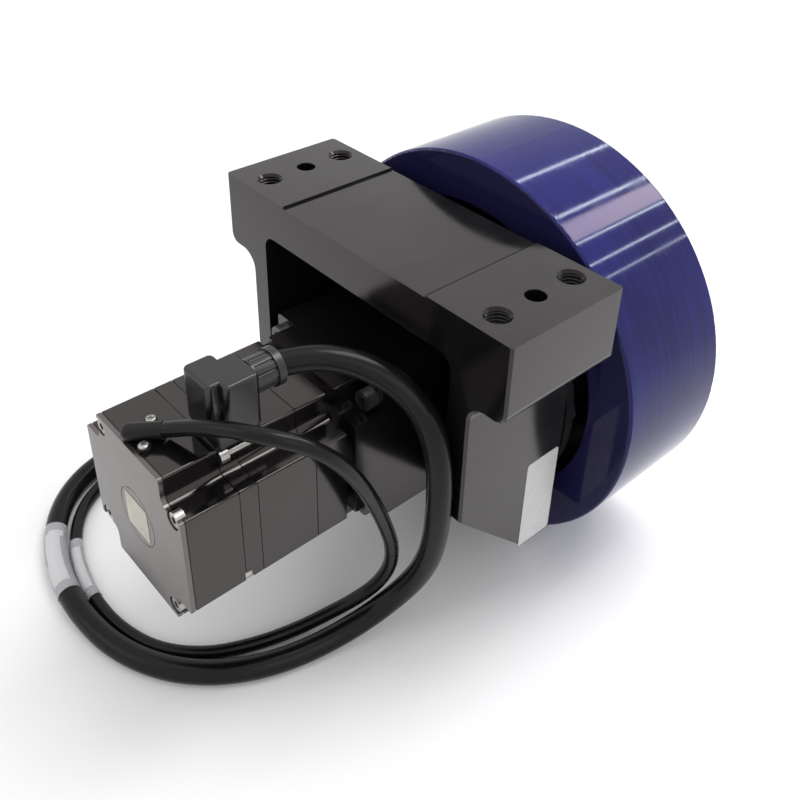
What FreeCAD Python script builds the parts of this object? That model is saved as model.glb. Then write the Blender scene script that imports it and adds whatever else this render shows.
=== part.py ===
import FreeCAD, Part
import math
import os

# Powered drive wheel: an 80 mm servo motor, its planetary gearbox, the machined bracket that
# bolts under a vehicle's chassis, and a polyurethane wheel round the gearbox.
# Millimetres. +Z is up, +Y runs along the drive axis from the motor to the wheel.
# The origin is the centre of the chassis bolt pattern, on the bracket's mounting pads.

# Heights and clearances
PAD_HEIGHT = 90.5            # mounting pads above the drive axis
RUN_GAP = 0.05               # radial play of a shaft or pin that turns in its bore
SEAT_GAP = 0.03              # radial play of a piece pressed or slipped into its seat
CLEAR_GAP = 0.5              # gap between faces that pass each other
SCREW_PLAY = 0.3             # radial play of a screw in its clearance hole
OVERRUN = 1.0                # how far a cut runs past the face it opens
NEAR = 0.01                  # two places closer than this are the same

# Bracket
BAR_LENGTH = 200.0
BAR_DEPTH = 70.0
BAR_HEIGHT = 40.5
BAR_CORNER = 6.5
PATTERN_TO_FRONT = 36.0      # bolt pattern centre behind the bracket's front face
PAD_LENGTH = 49.5
PAD_STEP = 1.0
LEG_SPAN = 160.0
LEG_THICKNESS = 12.25
LEG_FILLET = 9.0
LEDGE_CORNER_SHARE = 0.4     # of the ledge outside a leg, at most, for the bar's corner
LEDGE_FILLET_SHARE = 0.5     # of the same ledge, at most, for the leg's fillet
LEG_DROP = 67.75             # legs and plate below the drive axis
TAPER_START = 19.0           # where the legs' front edges start to slope back
POCKET_ROOF = 22.8           # bar left above the pocket
POCKET_CORNER = 7.0
PLATE_THICKNESS = 23.0
PLATE_BORE_RADIUS = 38.0
EDGE_BREAK = 1.2
CHASSIS_SPACING_X = 160.0
CHASSIS_SPACING_Y = 46.0
CHASSIS_TAP_RADIUS = 6.5
CHASSIS_TAP_DEPTH = 30.0
DOWEL_RADIUS = 5.0
DOWEL_DEPTH = 16.0

# Motor: square sections on the drive axis, from the bracket's plate to the rear
MOTOR_SIDE = 80.0
CUT_WALL = 25.5              # wall of each corner cut from the axis
CUT_FLOOR = 27.0             # floor of each corner cut from the axis
CUT_FILLET = 4.0
EDGE_RADIUS = 1.0
SEAM_DEPTH = 0.35
SEAM_WIDTH = 0.6
ADAPTER_LENGTH = 75.5
ADAPTER_CUT = 15.5           # length of the corner cuts in the adapter
ADAPTER_CORNER = 2.0
PILOT_GROOVE = 5.5
PILOT_RADIUS = 35.0
PILOT_DEPTH = 3.0
FLANGE_LENGTH = 17.0
HOUSING_LENGTH = 30.0
BELL_LENGTH = 9.0
COVER_LENGTH = 25.0
LID_THICKNESS = 2.0
HOUSING_BORE_RADIUS = 33.5
COVER_BORE_RADIUS = 31.0
ADAPTER_BORE_RADIUS = 33.0
ADAPTER_WALL = 9.5           # end wall of the adapter that the motor screws to
ADAPTER_WALL_BORE = 22.0
LID_DISC_RADIUS = 14.5
LID_GROOVE = 0.4

# Screws: thread radius, head radius, head height
M3 = (1.5, 2.4, 1.6)
M4 = (2.0, 3.6, 4.0)
M5 = (2.5, 4.25, 5.0)
M6 = (3.0, 5.0, 6.0)
M8 = (4.0, 6.5, 6.0)
HEX_SHARE = 0.5              # socket width of a cap screw over its head radius
LID_SCREW_X = 34.0
LID_SCREW_Z = 24.6
LID_SCREW_LENGTH = 12.0
BELL_SCREW_X = 24.6
BELL_SCREW_Z = 35.2
BELL_SCREW_LENGTH = 18.0
HEAD_POCKET_PLAY = 0.6
FACE_SCREW_RADIUS = 27.5     # circle of the screws from the adapter into the motor flange
FACE_SCREW_LENGTH = 16.0
CORNER_SCREW_CIRCLE = 46.0   # circle of the long screws from the adapter into the plate
CORNER_SCREW_GRIP = 12.0     # thread engagement in the plate

# Motor's inner pieces
STATOR_LENGTH = 20.0
STATOR_BORE_RADIUS = 22.6
STATOR_SLOTS = 12
SLOT_WIDTH = 5.0
SLOT_DEPTH = 7.0
SLOT_WALL = 1.4
WINDING_END = 4.0
AIR_GAP = 0.6
MAGNET_THICKNESS = 3.0
MAGNET_COUNT = 8
MAGNET_SPACE_DEG = 6.0
ROTOR_LENGTH = 22.0
SHAFT_RADIUS_REAR = 7.5
SHAFT_RADIUS_CORE = 12.0
SHAFT_RADIUS_FRONT = 10.0
SHAFT_RADIUS_END = 9.5
REAR_BEARING = (7.5, 16.0, 8.0)      # bore radius, outer radius, width
FRONT_BEARING = (10.0, 21.0, 12.0)
INPUT_BEARING = (10.0, 21.0, 12.0)
OUTPUT_BEARING = (25.0, 36.0, 12.0)
INNER_RING_SHARE = 0.35      # share of a bearing's wall that its inner ring takes
RING_GAP = 0.3               # running gap between a sealed bearing's rings
REAR_SHOULDER = 13.0
ENCODER_SHAFT_RADIUS = 4.0
ENCODER_SHAFT_LENGTH = 17.0
ENCODER_HUB_RADIUS = 7.0
ENCODER_DISC_GAP = 2.4
ENCODER_DISC_RADIUS = 17.0
ENCODER_DISC_THICKNESS = 1.5
ENCODER_BOARD_RADIUS = 28.0
ENCODER_BOARD_THICKNESS = 1.6
ENCODER_POST_HEIGHT = 8.0
ENCODER_POST_RADIUS = 2.5
ENCODER_POST_CIRCLE = 23.0
ENCODER_POSTS = 3
ENCODER_POST_ANGLE = 30.0    # direction of the first post
COUPLING_RADIUS = 18.0
COUPLING_LENGTH = 40.0
COUPLING_SLIT = 1.5
SHAFT_END_GAP = 2.0

# Planetary stage
MODULE = 1.25
SUN_TEETH = 15
PLANET_TEETH = 30
RING_TEETH = SUN_TEETH + 2 * PLANET_TEETH
PRESSURE_ANGLE = math.radians(20.0)
ADDENDUM = 0.8 * MODULE
DEDENDUM = 1.1 * MODULE
BACKLASH = 0.12
FLANK_STEPS = 3
PLANETS = 3
PLANET_ANGLE = 90.0          # direction of the first planet, from +X towards +Z
GEAR_WIDTH = 18.0
RING_WIDTH = 20.0
PLANET_PIN_RADIUS = 6.0
SUN_SHAFT_RADIUS = 7.5
SUN_COLLAR_RADIUS = 12.5
SUN_COLLAR_WIDTH = 2.0
INPUT_SEAL_WIDTH = 6.0
PIN_COLLAR_RADIUS = 8.5
PIN_CLIP_THICKNESS = 1.0
PIN_CLIP_GAP = 0.2
PIN_END_GAP = 0.5

# Gearbox housing
HOUSING_RADIUS = 62.0
HOUSING_FLANGE_LEDGE = 19.0
HOUSING_FLANGE_RADIUS = HOUSING_RADIUS + HOUSING_FLANGE_LEDGE
HOUSING_FLANGE_THICKNESS = 5.5
HOUSING_FRONT_WALL = 9.0
HOUSING_SPIGOT_LENGTH = 14.0
HOUSING_BORE = 48.6
INPUT_SHOULDER_RADIUS = 18.0
GEAR_END_GAP = 1.0
CARRIER_THICKNESS = 8.0
CARRIER_RADIUS = 43.0
OUTPUT_SHOULDER = 2.0
OUTPUT_SHOULDER_RADIUS = 33.0
BEARING_CASE_RADIUS = 46.0
CARRIER_NECK_RADIUS = 28.0
BEARING_CASE_FLANGE = 8.0
BEARING_CASE_SCREW_CIRCLE = 55.5
BEARING_CASE_SCREWS = 8
BEARING_CASE_GRIP = 8.5      # thread engagement of the case screws
SEAL_WIDTH = 5.0
FLANGE_SCREW_EDGE = 8.0       # screw centres inside the flange's edge
FLANGE_SCREW_CIRCLE = HOUSING_FLANGE_RADIUS - FLANGE_SCREW_EDGE
FLANGE_SCREW_ANGLES = (-40.0, 0.0, 40.0, 90.0, 140.0, 180.0, 220.0)
FLANGE_SCREW_LENGTH = 19.0

# Wheel
WHEEL_RADIUS = 110.0
WHEEL_WIDTH = 72.0
WHEEL_TO_FLANGE = 6.0        # gap between the housing flange and the tyre
TYRE_EDGE = 1.5
TYRE_THICKNESS = 18.0
RIM_RADIUS = WHEEL_RADIUS - TYRE_THICKNESS
RIM_THICKNESS = 8.0
TYRE_LIP_HEIGHT = 7.0        # how far the lip covers the rim's front face
TYRE_LIP_RADIUS = RIM_RADIUS - TYRE_LIP_HEIGHT
TYRE_LIP = 3.0
WEB_THICKNESS = 9.5
WEB_INSET = 2.0              # web's outer face inside the tyre's outer face
WEB_SPIGOT_RADIUS = 12.0
WEB_SPIGOT_LENGTH = 4.0
WEB_RECESS_DEPTH = 2.0
WEB_RECESS_INNER = 40.0
WEB_RECESS_MARGIN = 6.0      # flat ring left between the recess and the rim
WEB_RECESS_OUTER = RIM_RADIUS - RIM_THICKNESS - WEB_RECESS_MARGIN
HUB_BOLT_CIRCLE = 18.5
HUB_BOLTS = 6
HUB_BOLT_LENGTH = 24.0
CAP_RADIUS = 30.0
CAP_THICKNESS = 2.0

# Power connector on the motor's top face
SOCKET_HEIGHT = 5.0
SOCKET_INSET = 0.8
PLUG_LEFT = 3.0
PLUG_RIGHT = 27.5
PLUG_WAIST = 5.0             # each half is narrower than the flange by this much
PLUG_REAR = -126.0
PLUG_FRONT = -104.0
PLUG_MID_REAR = -120.5
PLUG_MID_FRONT = -112.0
PLUG_FLANGE = 5.0
PLUG_TOP = 30.0              # top of the plug above the motor's face
PLUG_CORNER = 2.5
PLUG_TOP_EDGE = 1.5
PLUG_SCREW_INSET = 2.7
PLUG_WELL_GAP = 0.2
GLAND_X = 17.5
GLAND_HEIGHT = 21.5          # gland axis above the motor's face
GLAND_NUT_RADIUS = 8.0
GLAND_NUT_LENGTH = 10.5
GLAND_COLLAR_RADIUS = 8.8
GLAND_COLLAR_LENGTH = 3.5
GLAND_RIBS = 12
GLAND_GROOVE_RADIUS = 0.65
GLAND_GROOVE_SETBACK = 1.0   # grooves start this far along the nut

# Encoder gland on the encoder cover's top face
BOOT_START = (-3.2, -149.2, 3.6)     # x, y, height above the motor's face
BOOT_END = (5.5, -138.6, 4.5)
BOOT_RADIUS = 3.9
BOOT_BASE_RADIUS = 2.9
BOOT_BASE_THICKNESS = 1.6
BOOT_SCREW_NEAR = 6.7
BOOT_SCREW_FAR = 9.4
BOOT_SCREW_LENGTH = 4.0

# Cables lie on the floor under the wheel
POWER_CABLE_DIAMETER = 12.0
ENCODER_CABLE_DIAMETER = 7.0
BEND_SHARE = 0.45
POWER_ROUTE = (
    (17.5, -90.0, -29.0), (21.5, -81.5, -28.0), (29.0, -71.0, -27.5), (38.5, -60.5, -31.0),
    (49.5, -51.7, -37.5), (59.5, -46.0, -47.0), (67.5, -43.6, -60.5), (72.0, -43.0, -77.5),
    (73.0, -43.0, -101.0), (70.8, -42.3, -125.5), (65.2, -42.4, -146.5), (58.2, -45.4, -163.0),
    (51.3, -51.9, -176.5), (45.7, -62.8, -186.5), (40.7, -78.8, -192.5), (36.0, -97.5, -194.5),
    (29.0, -117.5, -194.5), (16.5, -137.5, -194.5), (-2.0, -154.0, -194.5), (-26.0, -165.0, -194.5),
    (-52.0, -169.0, -194.5), (-78.0, -168.0, -194.5), (-101.0, -162.5, -194.5),
    (-121.0, -153.0, -194.5), (-138.0, -139.0, -194.5), (-149.5, -120.5, -194.5),
    (-154.0, -99.0, -194.5), (-150.0, -78.0, -194.0), (-138.5, -60.5, -192.5),
    (-122.0, -47.0, -192.5),
)
ENCODER_ROUTE = (
    (5.5, -138.6, -46.0), (12.5, -134.4, -42.6), (21.5, -130.6, -38.6), (33.5, -125.6, -34.0),
    (45.5, -119.5, -32.2), (54.5, -111.0, -34.0), (60.5, -101.0, -40.5), (63.3, -90.5, -53.0),
    (63.0, -81.0, -69.0), (60.5, -71.5, -88.0), (57.8, -62.5, -109.0), (55.0, -54.5, -131.0),
    (50.8, -51.2, -151.5), (44.4, -54.2, -168.6), (36.4, -61.6, -181.6), (28.4, -74.4, -190.8),
    (22.0, -91.0, -196.0), (15.0, -111.5, -197.0), (4.4, -132.5, -197.0), (-14.0, -149.5, -197.0),
    (-38.0, -157.5, -197.0), (-60.0, -159.0, -197.0), (-81.0, -156.5, -197.0),
    (-101.0, -150.8, -197.0), (-118.5, -141.5, -197.0), (-131.5, -128.5, -197.0),
    (-139.5, -112.0, -197.0), (-141.0, -94.0, -197.0), (-133.5, -78.0, -196.3),
    (-119.5, -68.5, -194.5), (-102.5, -65.5, -194.5),
)
POWER_PLUG_SIZE = (34.0, 24.0, 16.0)
ENCODER_PLUG_SIZE = (26.0, 18.0, 12.0)
LEAD_BOOT_LENGTH = 12.0
LEAD_BOOT_WALL = 1.0
LEAD_PLUG_CORNER = 2.0
LEAD_LATCH_HEIGHT = 1.5
LEAD_LATCH_SETBACK = 6.0     # latch's far end behind the plug's mouth
LEAD_LATCH_LENGTH = 16.0
LEAD_LATCH_WIDTH = 7.0
LEAD_MOUTH_DEPTH = 11.0
LEAD_MOUTH_WALL = 2.0

# Stations along the drive axis, worked out from the lengths above
BRACKET_FRONT = -PATTERN_TO_FRONT
BRACKET_BACK = BRACKET_FRONT + BAR_DEPTH
PLATE_FRONT = BRACKET_BACK - PLATE_THICKNESS
ADAPTER_REAR = PLATE_FRONT - ADAPTER_LENGTH
FLANGE_FRONT = ADAPTER_REAR - PILOT_GROOVE
FLANGE_REAR = FLANGE_FRONT - FLANGE_LENGTH
HOUSING_REAR = FLANGE_REAR - HOUSING_LENGTH
BELL_REAR = HOUSING_REAR - BELL_LENGTH
COVER_REAR = BELL_REAR - COVER_LENGTH
LID_REAR = COVER_REAR - LID_THICKNESS
CASE_FLANGE_BACK = BRACKET_BACK + HOUSING_FLANGE_THICKNESS
CASE_CAVITY = BRACKET_BACK + HOUSING_FRONT_WALL
RING_START = CASE_CAVITY + GEAR_END_GAP
GEAR_START = RING_START + (RING_WIDTH - GEAR_WIDTH) / 2
GEAR_END = GEAR_START + GEAR_WIDTH
CARRIER_START = RING_START + RING_WIDTH + GEAR_END_GAP
CARRIER_END = CARRIER_START + CARRIER_THICKNESS
CASE_BACK = CARRIER_END + GEAR_END_GAP
OUTPUT_BEARING_START = CASE_BACK + OUTPUT_SHOULDER
OUTPUT_BEARING_END = OUTPUT_BEARING_START + 2 * OUTPUT_BEARING[2]
CASE_NOSE = OUTPUT_BEARING_END + SEAL_WIDTH
TYRE_FRONT = CASE_FLANGE_BACK + WHEEL_TO_FLANGE
TYRE_BACK = TYRE_FRONT + WHEEL_WIDTH
WEB_BACK = TYRE_BACK - WEB_INSET
WEB_FRONT = WEB_BACK - WEB_THICKNESS
CENTRE_DISTANCE = MODULE * (SUN_TEETH + PLANET_TEETH) / 2
HALF_SIDE = MOTOR_SIDE / 2
ALONG = FreeCAD.Vector(0, 1, 0)
UP = FreeCAD.Vector(0, 0, 1)


def point(x, y, z):
    return FreeCAD.Vector(x, y, z)


def rod(radius, start, end, x=0.0, z=0.0):
    """Cylinder along the drive axis between two stations."""
    return Part.makeCylinder(radius, end - start, point(x, start, z), ALONG)


def ring(outer, inner, start, end, x=0.0, z=0.0):
    return rod(outer, start, end, x, z).cut(rod(inner, start, end, x, z))


def post(radius, x, y, low, high):
    """Cylinder standing up between two heights."""
    return Part.makeCylinder(radius, high - low, point(x, y, low), UP)


def block(low, high):
    size = [high[i] - low[i] for i in range(3)]
    return Part.makeBox(size[0], size[1], size[2], point(*low))


def on_circle(radius, angle):
    """X and Z of a place on a circle round the axis."""
    turn = math.radians(angle)
    return radius * math.cos(turn), radius * math.sin(turn)


def join(shapes):
    whole = shapes[0]
    for shape in shapes[1:]:
        whole = whole.fuse(shape)
    return whole.removeSplitter()


def group(shapes):
    return Part.makeCompound(shapes)


def outline(corners, plane, level):
    """Closed face from corners (u, v, radius), flat in the plane 'xz', 'xy' or 'yz' at a level."""
    places = {
        "xz": lambda u, v: point(u, level, v),
        "xy": lambda u, v: point(u, v, level),
        "yz": lambda u, v: point(level, u, v),
    }
    place = places[plane]
    edges = []
    last = None
    first = None
    count = len(corners)
    for index in range(count):
        u, v, radius = corners[index]
        here = place(u, v)
        if radius == 0:
            start = here
            stop = here
        else:
            back = place(*corners[index - 1][:2]) - here
            ahead = place(*corners[(index + 1) % count][:2]) - here
            back.normalize()
            ahead.normalize()
            half = back.getAngle(ahead) / 2
            reach = radius / math.tan(half)
            start = here + back * reach
            stop = here + ahead * reach
            middle = back + ahead
            middle.normalize()
            centre = here + middle * (radius / math.sin(half))
            edges.append((start, centre - middle * radius, stop))
        if first is None:
            first = start
        elif last.distanceToPoint(start) > NEAR:
            edges.append((last, start))
        last = stop
    if last.distanceToPoint(first) > NEAR:
        edges.append((last, first))
    lines = []
    for edge in edges:
        if len(edge) == 3:
            lines.append(Part.Arc(*edge).toShape())
        else:
            lines.append(Part.LineSegment(*edge).toShape())
    return Part.Face(Part.Wire(Part.__sortEdges__(lines)))


def motor_face(station, inset=0.0):
    """The motor's square section with a cut at each corner, in by an inset all round."""
    side = HALF_SIDE - inset
    wall = CUT_WALL - inset
    floor = CUT_FLOOR - inset
    corners = []
    for turn in range(4):
        quarter = (
            (wall, side, EDGE_RADIUS),
            (wall, floor, CUT_FILLET),
            (side, floor, EDGE_RADIUS),
        )
        for x, z, radius in quarter:
            for _ in range(turn):
                x, z = z, -x
            corners.append((x, z, radius))
    return outline(corners, "xz", station)


def motor_section(start, end):
    """One section of the motor, with a shallow seam where it meets the section behind it."""
    body = motor_face(start + SEAM_WIDTH).extrude(point(0, end - start - SEAM_WIDTH, 0))
    seam = motor_face(start, SEAM_DEPTH).extrude(point(0, SEAM_WIDTH, 0))
    return body.fuse(seam).removeSplitter()


def turned(x, z, quarter):
    """A place carried round the axis by quarter turns."""
    for _ in range(quarter):
        x, z = z, -x
    return x, z


def cap_screw(size, x, z, seat, length, direction=1.0):
    """Socket head cap screw along the drive axis, its head seated at a station."""
    thread, head, height = size
    if direction > 0:
        shank = rod(thread, seat, seat + length, x, z)
        top = rod(head, seat - height, seat, x, z)
        socket_start = seat - height
    else:
        shank = rod(thread, seat - length, seat, x, z)
        top = rod(head, seat, seat + height, x, z)
        socket_start = seat + height / 2
    socket = hexagon(head * HEX_SHARE, socket_start, socket_start + height / 2, x, z)
    return join([shank, top]).cut(socket)


def hexagon(radius, start, end, x, z):
    corners = []
    for step in range(6):
        u, v = on_circle(radius, 60.0 * step)
        corners.append((x + u, z + v, 0))
    return outline(corners, "xz", start).extrude(point(0, end - start, 0))


def save(name, shape, lift=-PAD_HEIGHT):
    """Write one piece, moved from the drive axis to the mounting pads' frame."""
    placed = shape.copy()
    placed.translate(point(0, 0, lift))
    placed.exportStep("parts/" + name + ".step")


def bracket():
    half_bar = BAR_LENGTH / 2
    half_span = LEG_SPAN / 2
    underside = PAD_HEIGHT - BAR_HEIGHT
    ledge = half_bar - half_span
    right = [
        (half_bar, PAD_HEIGHT, 0),
        (half_bar, underside, min(BAR_CORNER, LEDGE_CORNER_SHARE * ledge)),
        (half_span, underside, min(LEG_FILLET, LEDGE_FILLET_SHARE * ledge)),
        (half_span, -LEG_DROP, 0),
    ]
    left = [(-x, z, radius) for x, z, radius in reversed(right)]
    half_step = half_bar - PAD_LENGTH
    step = [
        (-half_step, PAD_HEIGHT, 0),
        (-half_step, PAD_HEIGHT - PAD_STEP, 0),
        (half_step, PAD_HEIGHT - PAD_STEP, 0),
        (half_step, PAD_HEIGHT, 0),
    ]
    body = outline(right + left + step, "xz", BRACKET_FRONT).extrude(point(0, BAR_DEPTH, 0))

    pocket_half = half_span - LEG_THICKNESS
    pocket_top = PAD_HEIGHT - POCKET_ROOF
    pocket_depth = BAR_DEPTH - PLATE_THICKNESS
    pocket = outline([
        (-pocket_half, -LEG_DROP - OVERRUN, 0),
        (-pocket_half, pocket_top, POCKET_CORNER),
        (pocket_half, pocket_top, POCKET_CORNER),
        (pocket_half, -LEG_DROP - OVERRUN, 0),
    ], "xz", BRACKET_FRONT).extrude(point(0, pocket_depth, 0))
    body = body.cut(pocket)

    slope = min(pocket_depth + EDGE_BREAK, LEG_DROP - TAPER_START)
    wedge = outline([
        (BRACKET_FRONT - OVERRUN, -TAPER_START + OVERRUN, 0),
        (BRACKET_FRONT - OVERRUN, -LEG_DROP - OVERRUN, 0),
        (BRACKET_FRONT + slope + OVERRUN, -LEG_DROP - OVERRUN, 0),
    ], "yz", -half_span - OVERRUN)
    body = body.cut(wedge.extrude(point(LEG_SPAN + 2 * OVERRUN, 0, 0)))

    body = body.makeChamfer(EDGE_BREAK, bracket_edges(body))
    body = body.cut(rod(PLATE_BORE_RADIUS, PLATE_FRONT - OVERRUN, BRACKET_BACK + OVERRUN))
    for hole in chassis_holes() + plate_holes():
        body = body.cut(hole)
    return body


def bracket_edges(body):
    """Straight edges of the bar's ends and the legs' fronts that are broken by a chamfer."""
    half_bar = BAR_LENGTH / 2
    half_span = LEG_SPAN / 2
    found = []
    for edge in body.Edges:
        box = edge.BoundBox
        upright = box.XLength < NEAR and box.YLength < NEAR
        at_front = abs(box.YMin - BRACKET_FRONT) < NEAR
        at_back = abs(box.YMin - BRACKET_BACK) < NEAR
        at_end = abs(abs(box.XMin) - half_bar) < NEAR
        at_leg = abs(abs(box.XMin) - half_span) < NEAR
        if upright and ((at_end and (at_front or at_back)) or (at_leg and at_front)):
            found.append(edge)
    return found


def chassis_holes():
    """Four tapped holes, and a dowel hole between each pair."""
    holes = []
    top = PAD_HEIGHT + OVERRUN
    for x in (-CHASSIS_SPACING_X / 2, CHASSIS_SPACING_X / 2):
        for y in (-CHASSIS_SPACING_Y / 2, CHASSIS_SPACING_Y / 2):
            holes.append(post(CHASSIS_TAP_RADIUS, x, y, PAD_HEIGHT - CHASSIS_TAP_DEPTH, top))
        holes.append(post(DOWEL_RADIUS, x, 0, PAD_HEIGHT - DOWEL_DEPTH, top))
    return holes


def plate_holes():
    """Holes in the plate for the adapter's long screws and the gearbox flange's screws."""
    holes = []
    end = PLATE_FRONT + CORNER_SCREW_GRIP + OVERRUN
    for x, z in corner_screw_places():
        holes.append(rod(M6[0] + SEAT_GAP, PLATE_FRONT - OVERRUN, end, x, z))
    start = CASE_FLANGE_BACK - FLANGE_SCREW_LENGTH - OVERRUN
    for angle in FLANGE_SCREW_ANGLES:
        x, z = on_circle(FLANGE_SCREW_CIRCLE, angle)
        holes.append(rod(M6[0] + SEAT_GAP, start, BRACKET_BACK + OVERRUN, x, z))
    return holes


def corner_screw_places():
    return [on_circle(CORNER_SCREW_CIRCLE, 45.0 + 90.0 * turn) for turn in range(4)]


def motor_rear_lid():
    lid = motor_face(LID_REAR).extrude(point(0, LID_THICKNESS, 0))
    groove = ring(LID_DISC_RADIUS, LID_DISC_RADIUS - LID_GROOVE, LID_REAR, LID_REAR + LID_GROOVE)
    lid = lid.cut(groove)
    return cut_lid_pockets(lid)


def lid_screw_places():
    return [turned(LID_SCREW_X, LID_SCREW_Z, turn) for turn in range(4)]


def bell_screw_places():
    return [turned(BELL_SCREW_X, BELL_SCREW_Z, turn) for turn in range(4)]


def lid_screw_seat():
    return LID_REAR + M4[2] + HEAD_POCKET_PLAY


def cut_lid_pockets(shape):
    """Open pockets for the lid screws' heads, and holes for their threads."""
    seat = lid_screw_seat()
    end = seat + LID_SCREW_LENGTH + OVERRUN
    for x, z in lid_screw_places():
        shape = shape.cut(rod(M4[1] + HEAD_POCKET_PLAY, LID_REAR - OVERRUN, seat, x, z))
        shape = shape.cut(rod(M4[0] + SEAT_GAP, seat - OVERRUN, end, x, z))
    return shape


def encoder_cover():
    cover = motor_section(COVER_REAR, BELL_REAR)
    cover = cover.cut(rod(COVER_BORE_RADIUS, COVER_REAR - OVERRUN, BELL_REAR + OVERRUN))
    cover = cut_lid_pockets(cover)
    low = HALF_SIDE - BOOT_SCREW_LENGTH - OVERRUN
    for x, y in boot_screw_places():
        cover = cover.cut(post(M3[0] + SEAT_GAP, x, y, low, HALF_SIDE + OVERRUN))
    return cover


def lid_screws():
    return group([cap_screw(M4, x, z, lid_screw_seat(), LID_SCREW_LENGTH)
                  for x, z in lid_screw_places()])


def bell_screw_seat():
    return BELL_REAR + BELL_LENGTH / 2


def rear_bell():
    bell = motor_section(BELL_REAR, HOUSING_REAR)
    bell = bell.cut(rod(REAR_BEARING[1] + SEAT_GAP, BELL_REAR, HOUSING_REAR))
    seat = bell_screw_seat()
    pocket_start = seat - M4[2] - HEAD_POCKET_PLAY
    for x, z in bell_screw_places():
        bell = bell.cut(rod(M4[1] + HEAD_POCKET_PLAY, pocket_start, seat, x, z))
        bell = bell.cut(rod(M4[0] + SEAT_GAP, seat - OVERRUN, HOUSING_REAR + OVERRUN, x, z))
    return bell


def bell_screws():
    return group([cap_screw(M4, x, z, bell_screw_seat(), BELL_SCREW_LENGTH)
                  for x, z in bell_screw_places()])


def motor_housing():
    housing = motor_section(HOUSING_REAR, FLANGE_REAR)
    housing = housing.cut(rod(HOUSING_BORE_RADIUS, HOUSING_REAR - OVERRUN, FLANGE_REAR + OVERRUN))
    end = bell_screw_seat() + BELL_SCREW_LENGTH + OVERRUN
    for x, z in bell_screw_places():
        housing = housing.cut(rod(M4[0] + SEAT_GAP, HOUSING_REAR - OVERRUN, end, x, z))
    return housing


def front_bearing_seat():
    return FLANGE_REAR + FRONT_BEARING[2]


def motor_front_flange():
    nose = ADAPTER_REAR + PILOT_DEPTH
    flange = motor_section(FLANGE_REAR, FLANGE_FRONT)
    flange = join([flange, rod(PILOT_RADIUS, FLANGE_FRONT, nose)])
    flange = flange.cut(rod(FRONT_BEARING[1] + SEAT_GAP, FLANGE_REAR, front_bearing_seat()))
    flange = flange.cut(rod(SHAFT_RADIUS_FRONT + CLEAR_GAP, FLANGE_REAR, nose))
    for x, z in face_screw_places():
        start = face_screw_seat() - FACE_SCREW_LENGTH - OVERRUN
        flange = flange.cut(rod(M5[0] + SEAT_GAP, start, nose, x, z))
    return flange


def face_screw_places():
    return [on_circle(FACE_SCREW_RADIUS, 90.0 * turn) for turn in range(4)]


def face_screw_seat():
    return ADAPTER_REAR + ADAPTER_WALL


def adapter_cut_end():
    return ADAPTER_REAR + ADAPTER_CUT


def gearbox_adapter():
    """Square spacer between the motor and the bracket, round the shaft coupling."""
    nose = PLATE_FRONT + PILOT_DEPTH
    front = motor_section(ADAPTER_REAR, adapter_cut_end())
    square = [
        (HALF_SIDE, HALF_SIDE, ADAPTER_CORNER),
        (HALF_SIDE, -HALF_SIDE, ADAPTER_CORNER),
        (-HALF_SIDE, -HALF_SIDE, ADAPTER_CORNER),
        (-HALF_SIDE, HALF_SIDE, ADAPTER_CORNER),
    ]
    back_length = PLATE_FRONT - adapter_cut_end()
    back = outline(square, "xz", adapter_cut_end()).extrude(point(0, back_length, 0))
    spigot = rod(PLATE_BORE_RADIUS - SEAT_GAP, PLATE_FRONT, nose)
    body = join([front, back, spigot])
    pilot_end = ADAPTER_REAR + PILOT_DEPTH
    body = body.cut(rod(PILOT_RADIUS + SEAT_GAP, ADAPTER_REAR - OVERRUN, pilot_end))
    body = body.cut(rod(ADAPTER_WALL_BORE, ADAPTER_REAR, nose))
    body = body.cut(rod(ADAPTER_BORE_RADIUS, face_screw_seat(), nose))
    for x, z in face_screw_places():
        body = body.cut(rod(M5[0] + SCREW_PLAY, ADAPTER_REAR, face_screw_seat(), x, z))
    for x, z in corner_screw_places():
        start = adapter_cut_end() - OVERRUN
        body = body.cut(rod(M6[0] + SCREW_PLAY, start, PLATE_FRONT + OVERRUN, x, z))
    return body


def flange_screws():
    return group([cap_screw(M5, x, z, face_screw_seat(), FACE_SCREW_LENGTH, -1)
                  for x, z in face_screw_places()])


def adapter_screws():
    length = PLATE_FRONT + CORNER_SCREW_GRIP - adapter_cut_end()
    return group([cap_screw(M6, x, z, adapter_cut_end(), length)
                  for x, z in corner_screw_places()])


def stator_middle():
    return (HOUSING_REAR + FLANGE_REAR) / 2


def slot_shape(width, inner, outer, start, end, angle):
    """Radial bar for a stator slot or the winding that fills it."""
    bar = block((inner, start, -width / 2), (outer, end, width / 2))
    bar.rotate(point(0, 0, 0), ALONG, angle)
    return bar


def stator_core():
    start = stator_middle() - STATOR_LENGTH / 2
    end = stator_middle() + STATOR_LENGTH / 2
    core = ring(HOUSING_BORE_RADIUS - SEAT_GAP, STATOR_BORE_RADIUS, start, end)
    slot_start = STATOR_BORE_RADIUS + SLOT_WALL
    for step in range(STATOR_SLOTS):
        angle = 360.0 * step / STATOR_SLOTS
        slot = slot_shape(SLOT_WIDTH, slot_start, slot_start + SLOT_DEPTH, start, end, angle)
        core = core.cut(slot)
    return core


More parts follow.
